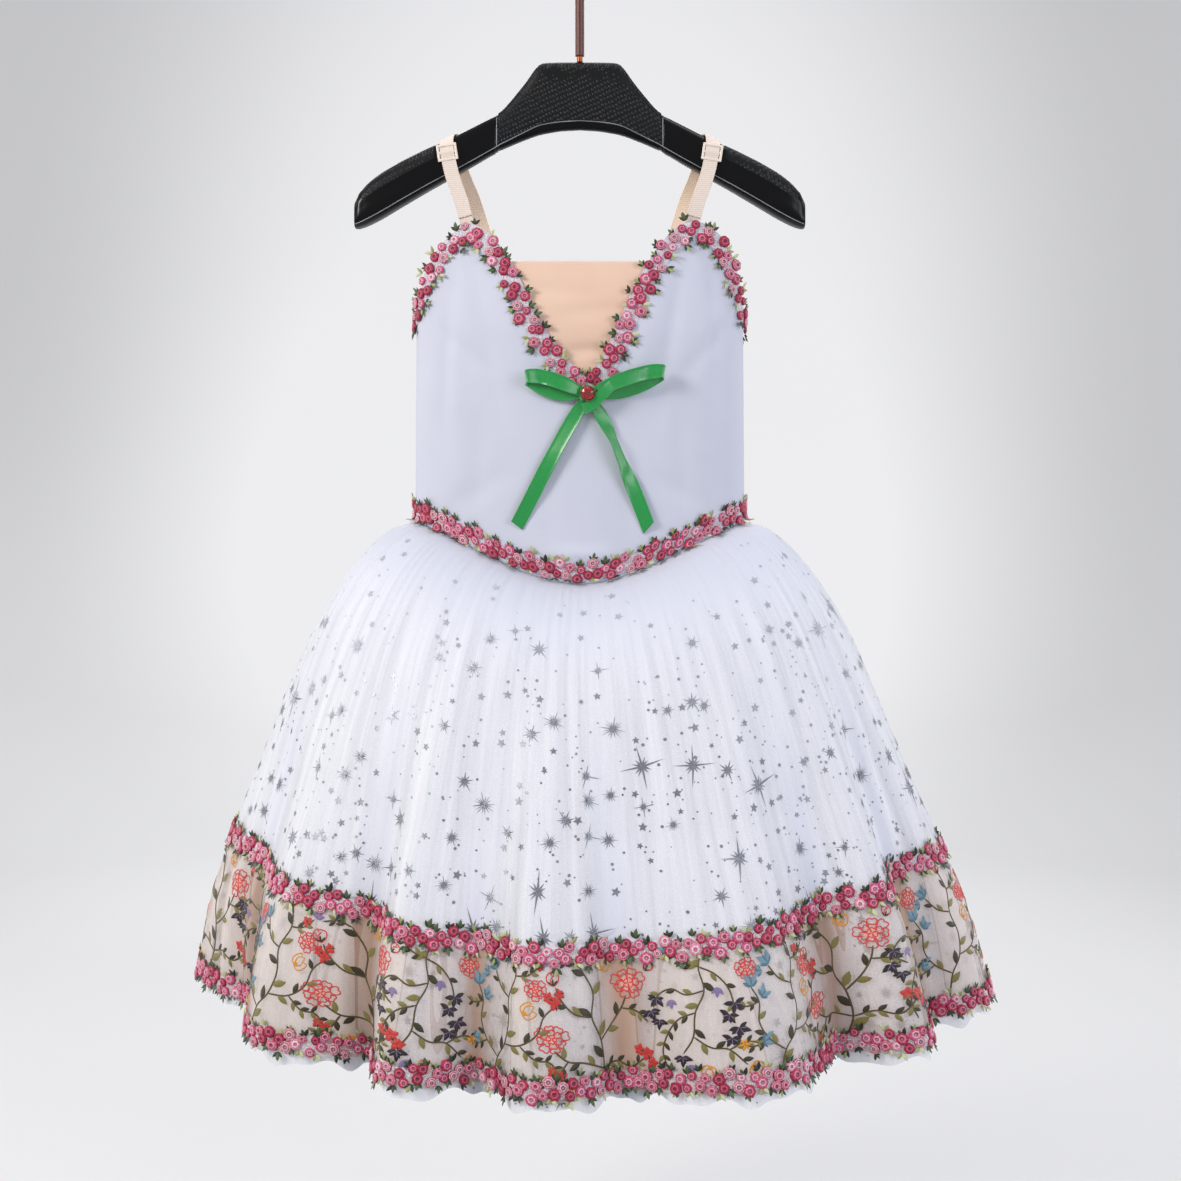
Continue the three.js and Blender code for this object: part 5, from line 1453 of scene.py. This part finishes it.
def rosette(name, tones, twist, seed):
    """One rosette: petal tips and gaps take turns round its rings, each a little uneven."""
    count = ROSE_PETALS * 2
    luck = np.random.default_rng(seed)
    swirl = 0.16 * (luck.random(2) - 0.5)
    rim = (0, 0, 2)[seed % 3]
    points, colours = [], []
    for ring, (radius, height, tone) in enumerate(ROSE_RINGS):
        tone = max(tone, rim) if ring == 2 else tone
        for i in range(count):
            tip = (i + ring // 3) % 2 == 0
            angle = 2 * math.pi * (i + 0.5 * (luck.random() - 0.5)) / count + twist * ring
            r = ROSE_RADIUS * radius * (1.03 if tip else 0.95) * (0.95 + 0.1 * luck.random())
            z = ROSE_TALL * height * (1.0 if tip else 0.84)
            points.append((r * math.cos(angle) + swirl[0] * ring,
                           r * math.sin(angle) + swirl[1] * ring, z))
            # Petal tips are painted lighter and the gaps between them darker, as painted highlight
            # and shade.
            shade = (1.1 if tip else 0.78) * (0.8 + 0.4 * luck.random())
            colours.append([min(1.0, c * shade) for c in linear(tones[tone])[:3]] + [1.0])
    points.append((0, 0, ROSE_TALL * 0.55))
    colours.append(linear(tones[2 if seed % 2 else 0]))
    faces = loft_faces(len(ROSE_RINGS), count)[:-2]
    last = (len(ROSE_RINGS) - 1) * count
    faces += [(last + i, last + (i + 1) % count, len(points) - 1) for i in range(count)]
    made = mesh_piece(name, points, faces)
    mark(made.data, "colour", "FLOAT_COLOR", colours)
    return made


def leaf_cluster(name, tones, leans):
    """Leaves that fan out from one stitch; each folds up along its middle rib."""
    work = Stitching()
    for i, (lean, long) in enumerate(leans):
        work.leaf(0, 0, 90 + lean, long, tones[i % 2], 0.44)
    made = work.piece(name)
    for vertex in made.data.vertices:
        far = math.hypot(vertex.co.x, vertex.co.y) / MM
        vertex.co.z = vertex.co.z * 1.6 + 0.00035 * far
    return made


# Braid ground: a narrow strip of soft white net tape, hardly seen between the rosettes.
braid_tape, tree, shader, place = start_finish("soft_white_net_tape")
cells = add_node(tree, "ShaderNodeTexVoronoi", {"feature": "DISTANCE_TO_EDGE"}, {
    "Vector": place, "Scale": 1000 / TAPE_CELL})
lines = add_node(tree, "ShaderNodeMapRange", inputs={
    "Value": cells, "From Max": 0.2, "To Min": 0.9, "To Max": 0.25})
tone = add_node(tree, "ShaderNodeMix", {"data_type": "RGBA"}, {
    0: lines, 6: "#E4D3DC", 7: "#F4EDF2"})
feed(shader, {"Alpha": lines, "Base Color": tone, "Roughness": 0.7})

TAPE_HALF = 6.5
GUIDE_HALF = 17.0
GUIDE_REACH = 20.0
GUIDE_ROWS = 21


def skirt_guide(turns, middle, face_off):
    """A band on the skirt's cloth, wider than the braid, for its roses to lie on."""
    rows = np.linspace(-GUIDE_REACH, GUIDE_REACH, GUIDE_ROWS)[:, None]
    down = np.minimum(middle(turns) + rows / NET_LONG, 1.02)
    out = skirt_normal(turns, down)
    return skirt_point(turns, down) + out * face_off(turns, down)[..., None], out


def waist_guide(turns):
    """The same round the waist: on the bodice above the seam and on the skirt below it."""
    angle = np.radians(turns)
    rows = np.linspace(-GUIDE_REACH, GUIDE_REACH, GUIDE_ROWS) - 10
    places, outs = [], []
    for row in rows:
        z = waist_z(angle) - row
        on_body = body_out(angle, np.maximum(z, waist_z(angle)), 0.4 + 0 * angle)
        body_way = body_out(angle, z, 1 + 0 * angle) - body_out(angle, z, 0 * angle)
        if row <= 0:
            places.append(on_body)
            outs.append(body_way)
        else:
            down = row / NET_LONG + 0 * turns
            out = skirt_normal(turns, np.maximum(down, 0.03))
            places.append(skirt_point(turns, down) + out * 1.6)
            outs.append(out)
    return soften(np.array(places), 3), unit(soften(np.array(outs), 3))


def neck_guide(count):
    """The same round the top edge: along the neckline in front and the scoop behind."""
    fine = np.linspace(0, 1, 1201)[:-1]
    front, rear = np.radians(mix(-90, 90, fine)), np.radians(mix(90, 270, fine))
    ring = np.concatenate([body_point(front, edge_z(front, True)),
                           body_point(rear, edge_z(rear, False))])
    ring = np.concatenate([ring, ring[:1]])
    far = distances(ring)
    want = np.arange(count) / count * far[-1]
    at = read_at(want, far, ring)
    angle = np.interp(want, far, np.concatenate([front, rear, [math.radians(270)]]))
    along = np.roll(at, -3, 0) - np.roll(at, 3, 0)
    out = normals_of(lambda u, v: body_point(u, -v), angle, -at[:, 2], 0.01, 2)
    inward = unit(np.cross(along, out))
    for _ in range(4):
        inward = (np.roll(inward, 1, 0) + 2 * inward + np.roll(inward, -1, 0)) / 4
    places, outs = [], []
    for deep in np.linspace(-GUIDE_REACH, GUIDE_REACH, GUIDE_ROWS) + 8.2:
        target = at + inward * deep
        turn = angle.copy()
        for _ in range(8):
            here, ahead = body_point(turn, target[:, 2]), body_point(turn + 0.01, target[:, 2])
            step = ahead - here
            turn += 0.01 * np.sum((target - here) * step, 1) / np.sum(step * step, 1)
        places.append(body_out(turn, target[:, 2], 1.2 + 0 * turn))
        outs.append(places[-1] - body_out(turn, target[:, 2], 0 * turn))
    return np.array(places), unit(np.array(outs))


def evened(places, out):
    """The same guide with its rows set evenly across, outwards from the middle one."""
    steps = np.linalg.norm(np.diff(places, axis=0), axis=-1)
    far = np.concatenate([0 * steps[:1], np.cumsum(steps, axis=0)])
    far -= far[GUIDE_ROWS // 2]
    want = np.linspace(-GUIDE_HALF, GUIDE_HALF, GUIDE_ROWS)
    both = np.concatenate([places, out], -1)
    made = np.empty_like(both)
    for column in range(places.shape[1]):
        made[:, column] = read_at(want, far[:, column], both[:, column])
    return made[..., :3], made[..., 3:]


def braid(edge, node, places, out, seed, every):
    """Tape, rosettes and leaves of one length of braid along a closed guide."""
    luck = np.random.default_rng(seed)
    places, out = evened(places, out)
    middle = places[GUIDE_ROWS // 2]
    far = distances(np.concatenate([middle, middle[:1]]))
    long = far[-1]
    shares = far[:-1] / long

    def sway(round_way):
        """How far the rows wind to one side or the other as they go round."""
        return MEANDER_WIDE * math.sin(2 * math.pi * round_way * long / MEANDER_LONG)

    guide = ring_piece(edge + "_guide", places, shares, None, out)
    spots = []
    count = int(long / every)
    for row in (-1, 1):
        for i in range(count):
            round_way = (i + 0.25 * row + 0.3 * (luck.random() - 0.5)) / count
            aside = row * 4.1 + sway(round_way) + 2.0 * (luck.random() - 0.5)
            spots.append((round_way % 1, 0.5 + aside / GUIDE_HALF / 2, luck.random() * 6.28,
                          0.74 + 0.34 * luck.random(), int(luck.choice(6, p=ROSE_SHARES))))
    for row in (-1, 1):
        clusters = int(long / every / 1.12)
        for i in range(clusters):
            round_way = (i + 0.5 + 0.7 * (luck.random() - 0.5)) / clusters
            spin = (0 if row < 0 else math.pi) + 0.9 * (luck.random() - 0.5)
            aside = row * 7.0 + sway(round_way)
            spots.append((round_way % 1, 0.5 + aside / GUIDE_HALF / 2, spin,
                          0.85 + 0.35 * luck.random(), 6 + int(luck.choice(4, p=LEAF_SHARES))))
    motifs = [rosette(f"motif_{i}_rosette", tones, (0.22, -0.18)[i % 2], i)
              for i, tones in enumerate(ROSE_TONES)]
    motifs += [leaf_cluster(f"motif_{6 + i}_leaves", tones, leans)
               for i, (tones, leans) in enumerate(LEAF_CLUSTERS)]
    roses = lay_motifs(edge + "_rose_braid", motifs, guide, places, shares, spots, 0.1, cotton)
    bpy.data.objects.remove(guide)
    fit_to_frame(roses, "rose_braid", node)
    rows = np.linspace(0.5 - TAPE_HALF / GUIDE_HALF / 2, 0.5 + TAPE_HALF / GUIDE_HALF / 2, 5)
    spread = rows * (GUIDE_ROWS - 1)
    low = np.floor(spread).astype(int)
    part = (spread - low)[:, None, None]
    tape_places = places[low] * (1 - part) + places[low + 1] * part
    tape = ring_piece(edge + "_braid_tape", tape_places, shares, braid_tape)
    fit_to_frame(tape, "rose_braid")


places, out = neck_guide(420)
braid("neck", "trim_neck", places, out, seed=5, every=11.5)
waist_turns = -180 + 360 * np.arange(360) / 360
places, out = waist_guide(waist_turns)
braid("waist", "trim_waist", places, out, seed=6, every=9.6)
places, out = skirt_guide(net_turns, lambda t: flounce_top(t) + 0.004,
                          lambda t, d: flounce_off(t, d) + 0.4)
braid("flounce", "trim_flounce", places, out, seed=7, every=10.0)
places, out = skirt_guide(net_turns, lambda t: FLOUNCE_END - 0.019 + 0 * t,
                          lambda t, d: FLOUNCE_LIE + FLOUNCE_LIFT + 0.5 + gathers(t, d))
braid("hem", "trim_hem", places, out, seed=8, every=10.0)


# ---------------------------------
# Bow: 13 mm emerald satin ribbon. Two loops stand on edge at a wrapped knot, two tails
# with slanted ends hang below it, and a red glass stone in a claw rim is sewn on top.

KNOT_X, KNOT_Z = 7, -394
KNOT_OFF = 9.4
RIBBON_WIDTH = 12.6
RIBBON_THICK = 0.7
LOOP_START = 3.5
LOOP_ARCH = 2.5
LOOP_STEPS = 6
LOOP_RINGS, TAIL_RINGS = 130, 90
STRAND_GAP = 5.5
# Tails: sideways place, height, stand-off, and the turn of the width in degrees.
TAIL_LEFT = [(4.5, -398.5, 5.6, 0), (-2, -410, 5.4, 14), (-14, -431, 5.6, 18), (-29, -459, 5.2, 6),
             (-42, -485, 3.8, -6), (-54.5, -509, 3, -14)]
TAIL_RIGHT = [(10, -399, 6.4, -8), (19, -414, 7, -26), (28.5, -433, 8, -60), (34, -447, 7.6, -52),
              (41, -464, 5.2, -14), (49, -483, 4, 4), (60, -511, 3, 14)]


def on_front(x, z, off):
    x, z, off = (np.atleast_1d(np.asarray(v, float)) for v in (x, z, off))
    return body_out(angle_at(x, z), z, off)


def ribbon_profile(thick):
    """The ribbon's cut end: flat, with a slightly thicker woven edge on each side."""
    upper = [(-1, 0.3), (-0.97, 0.62), (-0.92, 0.6), (-0.88, 0.44), (-0.5, 0.46), (0, 0.5),
             (0.5, 0.46), (0.88, 0.44), (0.92, 0.6), (0.97, 0.62), (1, 0.3)]
    rows = [(a, h * thick) for a, h in upper]
    return rows + [(a, -h) for a, h in reversed(rows)]


def loop_frames(tip_x, tip_z, drop):
    start_x = KNOT_X + math.copysign(LOOP_START, tip_x)
    share = np.linspace(0, 1, LOOP_STEPS + 1)
    x, z = mix(start_x, tip_x, share), mix(KNOT_Z, tip_z, share)
    behind = on_front(x, z - drop * np.sin(np.pi * share * 0.8),
                      KNOT_OFF - 1.8 - STRAND_GAP * 0.35 * np.sin(np.pi * share))
    near = on_front(x, z + LOOP_ARCH * np.sin(np.pi * share),
                    KNOT_OFF + STRAND_GAP * np.sin(np.pi * np.minimum(share, 0.82)))
    # The fold at the end is a soft half turn, a little wider than the gap between strands.
    outward = math.copysign(1, tip_x)
    turns = np.radians([-60, -25, 10, 45, 75])
    end = on_front(tip_x + outward * 3.4 * np.cos(turns), tip_z - drop * 0.3 + 1.2 * np.sin(turns),
                   KNOT_OFF + 1.6 + 4.2 * np.sin(turns))
    line, along = smooth_path(np.concatenate([behind[:-1], end, near[-2::-1]]), LOOP_RINGS)
    lean = np.array([0.16 * outward, 0, 1.0]) * np.ones((LOOP_RINGS, 1))
    side = unit(lean - along * np.sum(lean * along, 1, keepdims=True))
    return line, along, side, np.cross(side, along)


def pinched(count, both):
    """The ribbon is pulled narrow where the knot holds it, and draws in at a loop's fold."""
    share = np.linspace(0, 1, count)
    near = np.exp(-(share / 0.1) ** 2) + (np.exp(-((1 - share) / 0.1) ** 2) if both else 0)
    fold = np.exp(-((share - 0.5) / 0.04) ** 2) if both else 0
    return 1 - 0.36 * near - 0.2 * fold


def tail_frames(rows):
    rows = np.array(rows, float)
    line, along = smooth_path(on_front(rows[:, 0], rows[:, 1], rows[:, 2]), TAIL_RINGS)
    level = unit(np.cross(along, [0, -1.0, 0]))
    turn = np.interp(np.linspace(0, 1, TAIL_RINGS), np.linspace(0, 1, len(rows)), rows[:, 3])
    turn = np.radians(turn)[:, None]
    side = level * np.cos(turn) - np.cross(level, along) * np.sin(turn)
    return line, along, side, np.cross(side, along)


def slanted(frames, piece, profile, reach):
    """Slides the last rings along the ribbon, more on one side, so that its end slants."""
    at, way, wide, face = frames
    count = len(profile)
    for i, vertex in enumerate(piece.data.vertices):
        ring, step = divmod(i, count)
        fade = max(0.0, (ring / (len(at) - 1) - 0.86) / 0.14)
        slide = way[ring] * profile[step][0] * reach * fade
        vertex.co += Vector(slide * MM)


# Emerald satin: fine warp floats run along the ribbon, so it is bright along them and
# shows a soft sheen where it turns.
emerald_satin, tree, shader, place = start_finish("emerald_satin_ribbon")
warp = add_node(tree, "ShaderNodeMapping", inputs={
    "Vector": place, "Rotation": (0, 0.45, 0), "Scale": (1.0, 1.0, 0.12)})
floats = add_node(tree, "ShaderNodeTexNoise", inputs={
    "Vector": warp, "Scale": 2600.0, "Detail": 2.0})
tone = add_node(tree, "ShaderNodeMix", {"data_type": "RGBA"}, {
    0: floats, 6: "#047A2E", 7: "#18AA4E"})
relief = add_node(tree, "ShaderNodeBump", inputs={
    "Height": floats, "Strength": 0.25, "Distance": 0.0002})
feed(shader, {
    "Base Color": tone, "Roughness": 0.3, "Specular IOR Level": 0.75, "Anisotropic": 0.4,
    "Sheen Weight": 0.35, "Normal": relief})

profile = ribbon_profile(RIBBON_THICK)
for side, tip in (("left", (-42, -378, 8)), ("right", (68, -373.5, 8))):
    frames = loop_frames(*tip)
    long = distances(frames[0])[-1]
    loop = band(f"satin_loop_{side}", frames, RIBBON_WIDTH * pinched(LOOP_RINGS, True), profile,
                emerald_satin)
    fit_to_frame(loop, "satin", f"bow_loop_{side}")
for side, rows in (("left", TAIL_LEFT), ("right", TAIL_RIGHT)):
    frames = tail_frames(rows)
    long = distances(frames[0])[-1]
    tail = band(f"satin_tail_{side}", frames, RIBBON_WIDTH * pinched(TAIL_RINGS, False), profile,
                emerald_satin)
    slanted(frames, tail, profile, -1.2 if side == "left" else 3.4)
    fit_to_frame(tail, "satin", f"bow_tail_{side}")

# Knot: the ribbon's wrap, pulled narrow, with three soft folds across it.
knot_at = on_front(KNOT_X, KNOT_Z, KNOT_OFF)[0]
knot_points = []
KNOT_RINGS, KNOT_SIDES = 21, 40
for i in range(KNOT_RINGS):
    share = mix(-1, 1, i / (KNOT_RINGS - 1))
    swell = 0.9 + 0.1 * abs(share) + 0.05 * math.cos(share * 3 * math.pi)
    swell *= math.sqrt(max(0.0, 1 - 0.55 * abs(share) ** 7))
    for step in range(KNOT_SIDES):
        turn = 2 * math.pi * step / KNOT_SIDES
        knot_points.append(knot_at + [6.3 * share + 0.8 * math.sin(turn),
                                      3.6 * swell * math.cos(turn), 7.2 * swell * math.sin(turn)])
knot = mesh_piece("satin_knot", knot_points, loft_faces(KNOT_RINGS, KNOT_SIDES),
                  finish=emerald_satin)
fit_to_frame(knot, "satin", "bow_knot")

# The wrap: one more turn of ribbon, folded in half, that crosses the knot on a slant and
# lies over the start of the right loop.
wrap_route = knot_at + np.array([
    (-4, 2.6, -13.6), (-1.2, -1.8, -12.6), (3.8, -3.8, -9.4), (8.4, -5.2, -5), (13, -5.8, -0.8),
    (17, -5.4, 3.2), (20.8, -4.0, 6.8), (23, -1.4, 8.6)])
line, along = smooth_path(wrap_route, 60)
level = unit(np.cross(along, [0, -1.0, 0]))
wrap = band("satin_wrap", (line, along, level, np.cross(level, along)), 9.4, ribbon_profile(0.5),
            emerald_satin)
fit_to_frame(wrap, "satin")

# Red glass: a machine-cut stone, each facet painted its own red, dark to bright, as painted
# reflections of the light.
ruby_glass, tree, shader, place = start_finish("ruby_cut_glass")
facet_painted_light = add_node(tree, "ShaderNodeAttribute", {"attribute_name": "facet_painted_light"})
swirl = add_node(tree, "ShaderNodeTexNoise", inputs={
    "Vector": place, "Scale": 420.0, "Detail": 1.0})
depth = add_node(tree, "ShaderNodeMath", {"operation": "MULTIPLY_ADD", "use_clamp": True}, {
    0: swirl, 1: 0.2, 2: facet_painted_light.outputs["Fac"]})
tone = add_node(tree, "ShaderNodeMix", {"data_type": "RGBA"}, {
    0: depth, 6: "#4A0410", 7: "#FF3B3B"})
feed(shader, {
    "Base Color": tone, "Roughness": 0.06, "Specular IOR Level": 0.8, "Coat Weight": 0.6})

# Brass claw rim, aged to a dull gold.
claw_brass, tree, shader, place = start_finish("dull_brass_claws")
tarnish = add_node(tree, "ShaderNodeTexNoise", inputs={"Vector": place, "Scale": 900.0})
tone = add_node(tree, "ShaderNodeMix", {"data_type": "RGBA"}, {
    0: tarnish, 6: "#6E4A35", 7: "#B98D6A"})
feed(shader, {"Metallic": 0.9, "Base Color": tone, "Roughness": 0.35})

GEM_RADIUS, GEM_TALL, GEM_SIDES = 6.0, 4.7, 12
stone_base = knot_at + np.array([0, -4.4 - SEAM_GAP - 0.1, 0])
stone_rings = [(0.86, 0.0), (1.0, 1.3), (1.0, 1.6), (0.84, 3.8), (0.56, GEM_TALL)]
stone_points = []
for ring, (radius, height) in enumerate(stone_rings):
    for i in range(GEM_SIDES):
        turn = 2 * math.pi * (i + 0.5 * (ring == 3)) / GEM_SIDES
        stone_points.append(stone_base + [GEM_RADIUS * radius * math.cos(turn), -height,
                                          GEM_RADIUS * radius * math.sin(turn)])
# The two rows round its girdle stay four-sided, and those above are cut in triangles.
walls = loft_faces(len(stone_rings), GEM_SIDES)
stone_faces = walls[:2 * GEM_SIDES]
for a, b, c, d in walls[2 * GEM_SIDES:3 * GEM_SIDES]:
    stone_faces += [(a, b, d), (b, c, d)]
for a, b, c, d in walls[3 * GEM_SIDES:-2]:
    stone_faces += [(a, b, c), (a, c, d)]
stone_faces += walls[-2:]
stone = mesh_piece("ruby_stone", stone_points, stone_faces, smooth=False, finish=ruby_glass)
# How bright each facet's painted reflection is.
shades = [(0.0, 0.3, 0.1, 0.7, 0.0, 0.18, 0.05)[i % 7] if i < 6 * GEM_SIDES else 0.08
          for i in range(len(stone_faces))]
mark(stone.data, "facet_painted_light", "FLOAT", shades, "FACE")
fit_to_frame(stone, "stone", "gem")

rim_points = []
RIM_TURNS, RIM_SIDES = 96, 8
for i in range(RIM_TURNS):
    turn = 2 * math.pi * i / RIM_TURNS
    claw = max(0.0, math.cos(8 * turn)) ** 4
    for step in range(RIM_SIDES):
        around_rim = 2 * math.pi * step / RIM_SIDES
        radius = GEM_RADIUS + 0.45 + 0.4 * math.cos(around_rim)
        height = 0.9 + (0.75 + 0.9 * claw) * math.sin(around_rim)
        rim_points.append(stone_base + [radius * math.cos(turn), -height, radius * math.sin(turn)])
rim_faces = [(a, b, c % len(rim_points), d % len(rim_points))
             for a, d, c, b in grid_faces(RIM_TURNS, RIM_SIDES, True)]
rim = mesh_piece("stone_claw_rim", rim_points, rim_faces, finish=claw_brass)
fit_to_frame(rim, "stone")


# ---------------------------------
# Floor and lights: a pale round paper sweep about the dress, and soft lamps inside it.

STAGE_Z = -1290
STAGE_RADIUS = 3400
STAGE_COVE = 900
STAGE_TOP = 2300
STAGE_SIDES = 96
GLOW_CENTRE = (0, 3.4, -0.2)
LOW_GLOW_CENTRE = (-0.25, 3.0, -1.7)


def stage_sweep():
    """A pale round floor that curves up into a wall on every side, in one sheet."""
    rows = [(600, STAGE_Z)]
    for turn in np.linspace(0, math.pi / 2, 17):
        rows.append((STAGE_RADIUS + STAGE_COVE * (math.sin(turn) - 1),
                     STAGE_Z + STAGE_COVE * (1 - math.cos(turn))))
    rows.append((STAGE_RADIUS, STAGE_TOP))
    points = []
    for radius, z in rows:
        for i in range(STAGE_SIDES):
            turn = 2 * math.pi * i / STAGE_SIDES
            points.append((radius * math.cos(turn), radius * math.sin(turn), z))
    faces = [tuple(range(STAGE_SIDES))] + grid_faces(len(rows) - 1, STAGE_SIDES, True)
    return mesh_piece("studio_sweep", points, faces)


# White background paper with a painted glow of its own, so that it never goes grey.
paper, tree, shader, place = start_finish("pale_studio_paper")
cloud = add_node(tree, "ShaderNodeTexNoise", inputs={"Vector": place, "Scale": 1.5, "Detail": 2.0})
tone = add_node(tree, "ShaderNodeMix", {"data_type": "RGBA"}, {
    0: cloud, 6: "#B9B9BC", 7: "#BEBEC0"})
# The painted glow is strongest behind the dress, with a wider painted pool of light where wall
# meets floor.
squeezed = add_node(tree, "ShaderNodeVectorMath", {"operation": "MULTIPLY"}, {
    0: place, 1: (1.0, 1.0, 0.7)})
off_centre = add_node(tree, "ShaderNodeVectorMath", {"operation": "DISTANCE"}, {
    0: squeezed, 1: GLOW_CENTRE})
glow = add_node(tree, "ShaderNodeMapRange", {"interpolation_type": "SMOOTHSTEP"}, {
    "Value": off_centre, "From Min": 0.5, "From Max": 1.4, "To Min": 1.0, "To Max": 0.0})
stretched = add_node(tree, "ShaderNodeVectorMath", {"operation": "MULTIPLY"}, {
    0: place, 1: (1.0, 1.0, 1.45)})
off_low = add_node(tree, "ShaderNodeVectorMath", {"operation": "DISTANCE"}, {
    0: stretched, 1: LOW_GLOW_CENTRE})
low_glow = add_node(tree, "ShaderNodeMapRange", {"interpolation_type": "SMOOTHSTEP"}, {
    "Value": off_low, "From Min": 0.5, "From Max": 1.9, "To Min": 0.5, "To Max": 0.0})
both = add_node(tree, "ShaderNodeMath", {"operation": "ADD", "use_clamp": True}, {
    0: glow, 1: low_glow})
shine = add_node(tree, "ShaderNodeMapRange", inputs={
    "Value": both, "To Min": 0.23, "To Max": 0.5})
feed(shader, {
    "Base Color": tone, "Roughness": 0.9, "Emission Color": "#FFFFFF", "Emission Strength": shine})
sweep = stage_sweep()
sweep.data.materials.append(paper)
sweep.visible_diffuse = sweep.visible_glossy = sweep.visible_shadow = False


def soft_lamp(name, place, aim, size, power, colour):
    lamp = bpy.data.lights.new(name, "AREA")
    lamp.shape = "RECTANGLE"
    lamp.size, lamp.size_y = size[0] * MM, size[1] * MM
    lamp.energy = power
    lamp.color = linear(colour)[:3]
    lit = put_in_scene(name, lamp)
    lit.location = Vector(place) * MM
    lit.rotation_euler = (Vector(aim) * MM - lit.location).to_track_quat("-Z", "Y").to_euler()


soft_lamp("key_lamp", (-1900, -1700, 750), (0, 0, -550), (900, 900), 46, "#FFFCF6")
soft_lamp("fill_lamp", (1900, -2000, 100), (0, 0, -600), (1500, 1500), 27, "#F2F5FF")
soft_lamp("top_lamp", (200, 300, 1500), (0, 0, -600), (1500, 1100), 15, "#FFFFFF")
soft_lamp("back_lamp", (0, 2400, 300), (0, 0, -600), (1600, 1200), 20, "#FFFFFF")
soft_lamp("left_lamp", (-2100, 500, -300), (0, 0, -850), (700, 1600), 13, "#FFFFFF")
soft_lamp("right_lamp", (2100, 500, -300), (0, 0, -850), (700, 1600), 13, "#FFFFFF")
world = bpy.data.worlds.new("studio")
world.use_nodes = True
feed(world.node_tree.nodes["Background"], {"Color": "#F2F3F6", "Strength": 0.45})
bpy.context.scene.world = world

bpy.context.scene.view_settings.view_transform = "Standard"
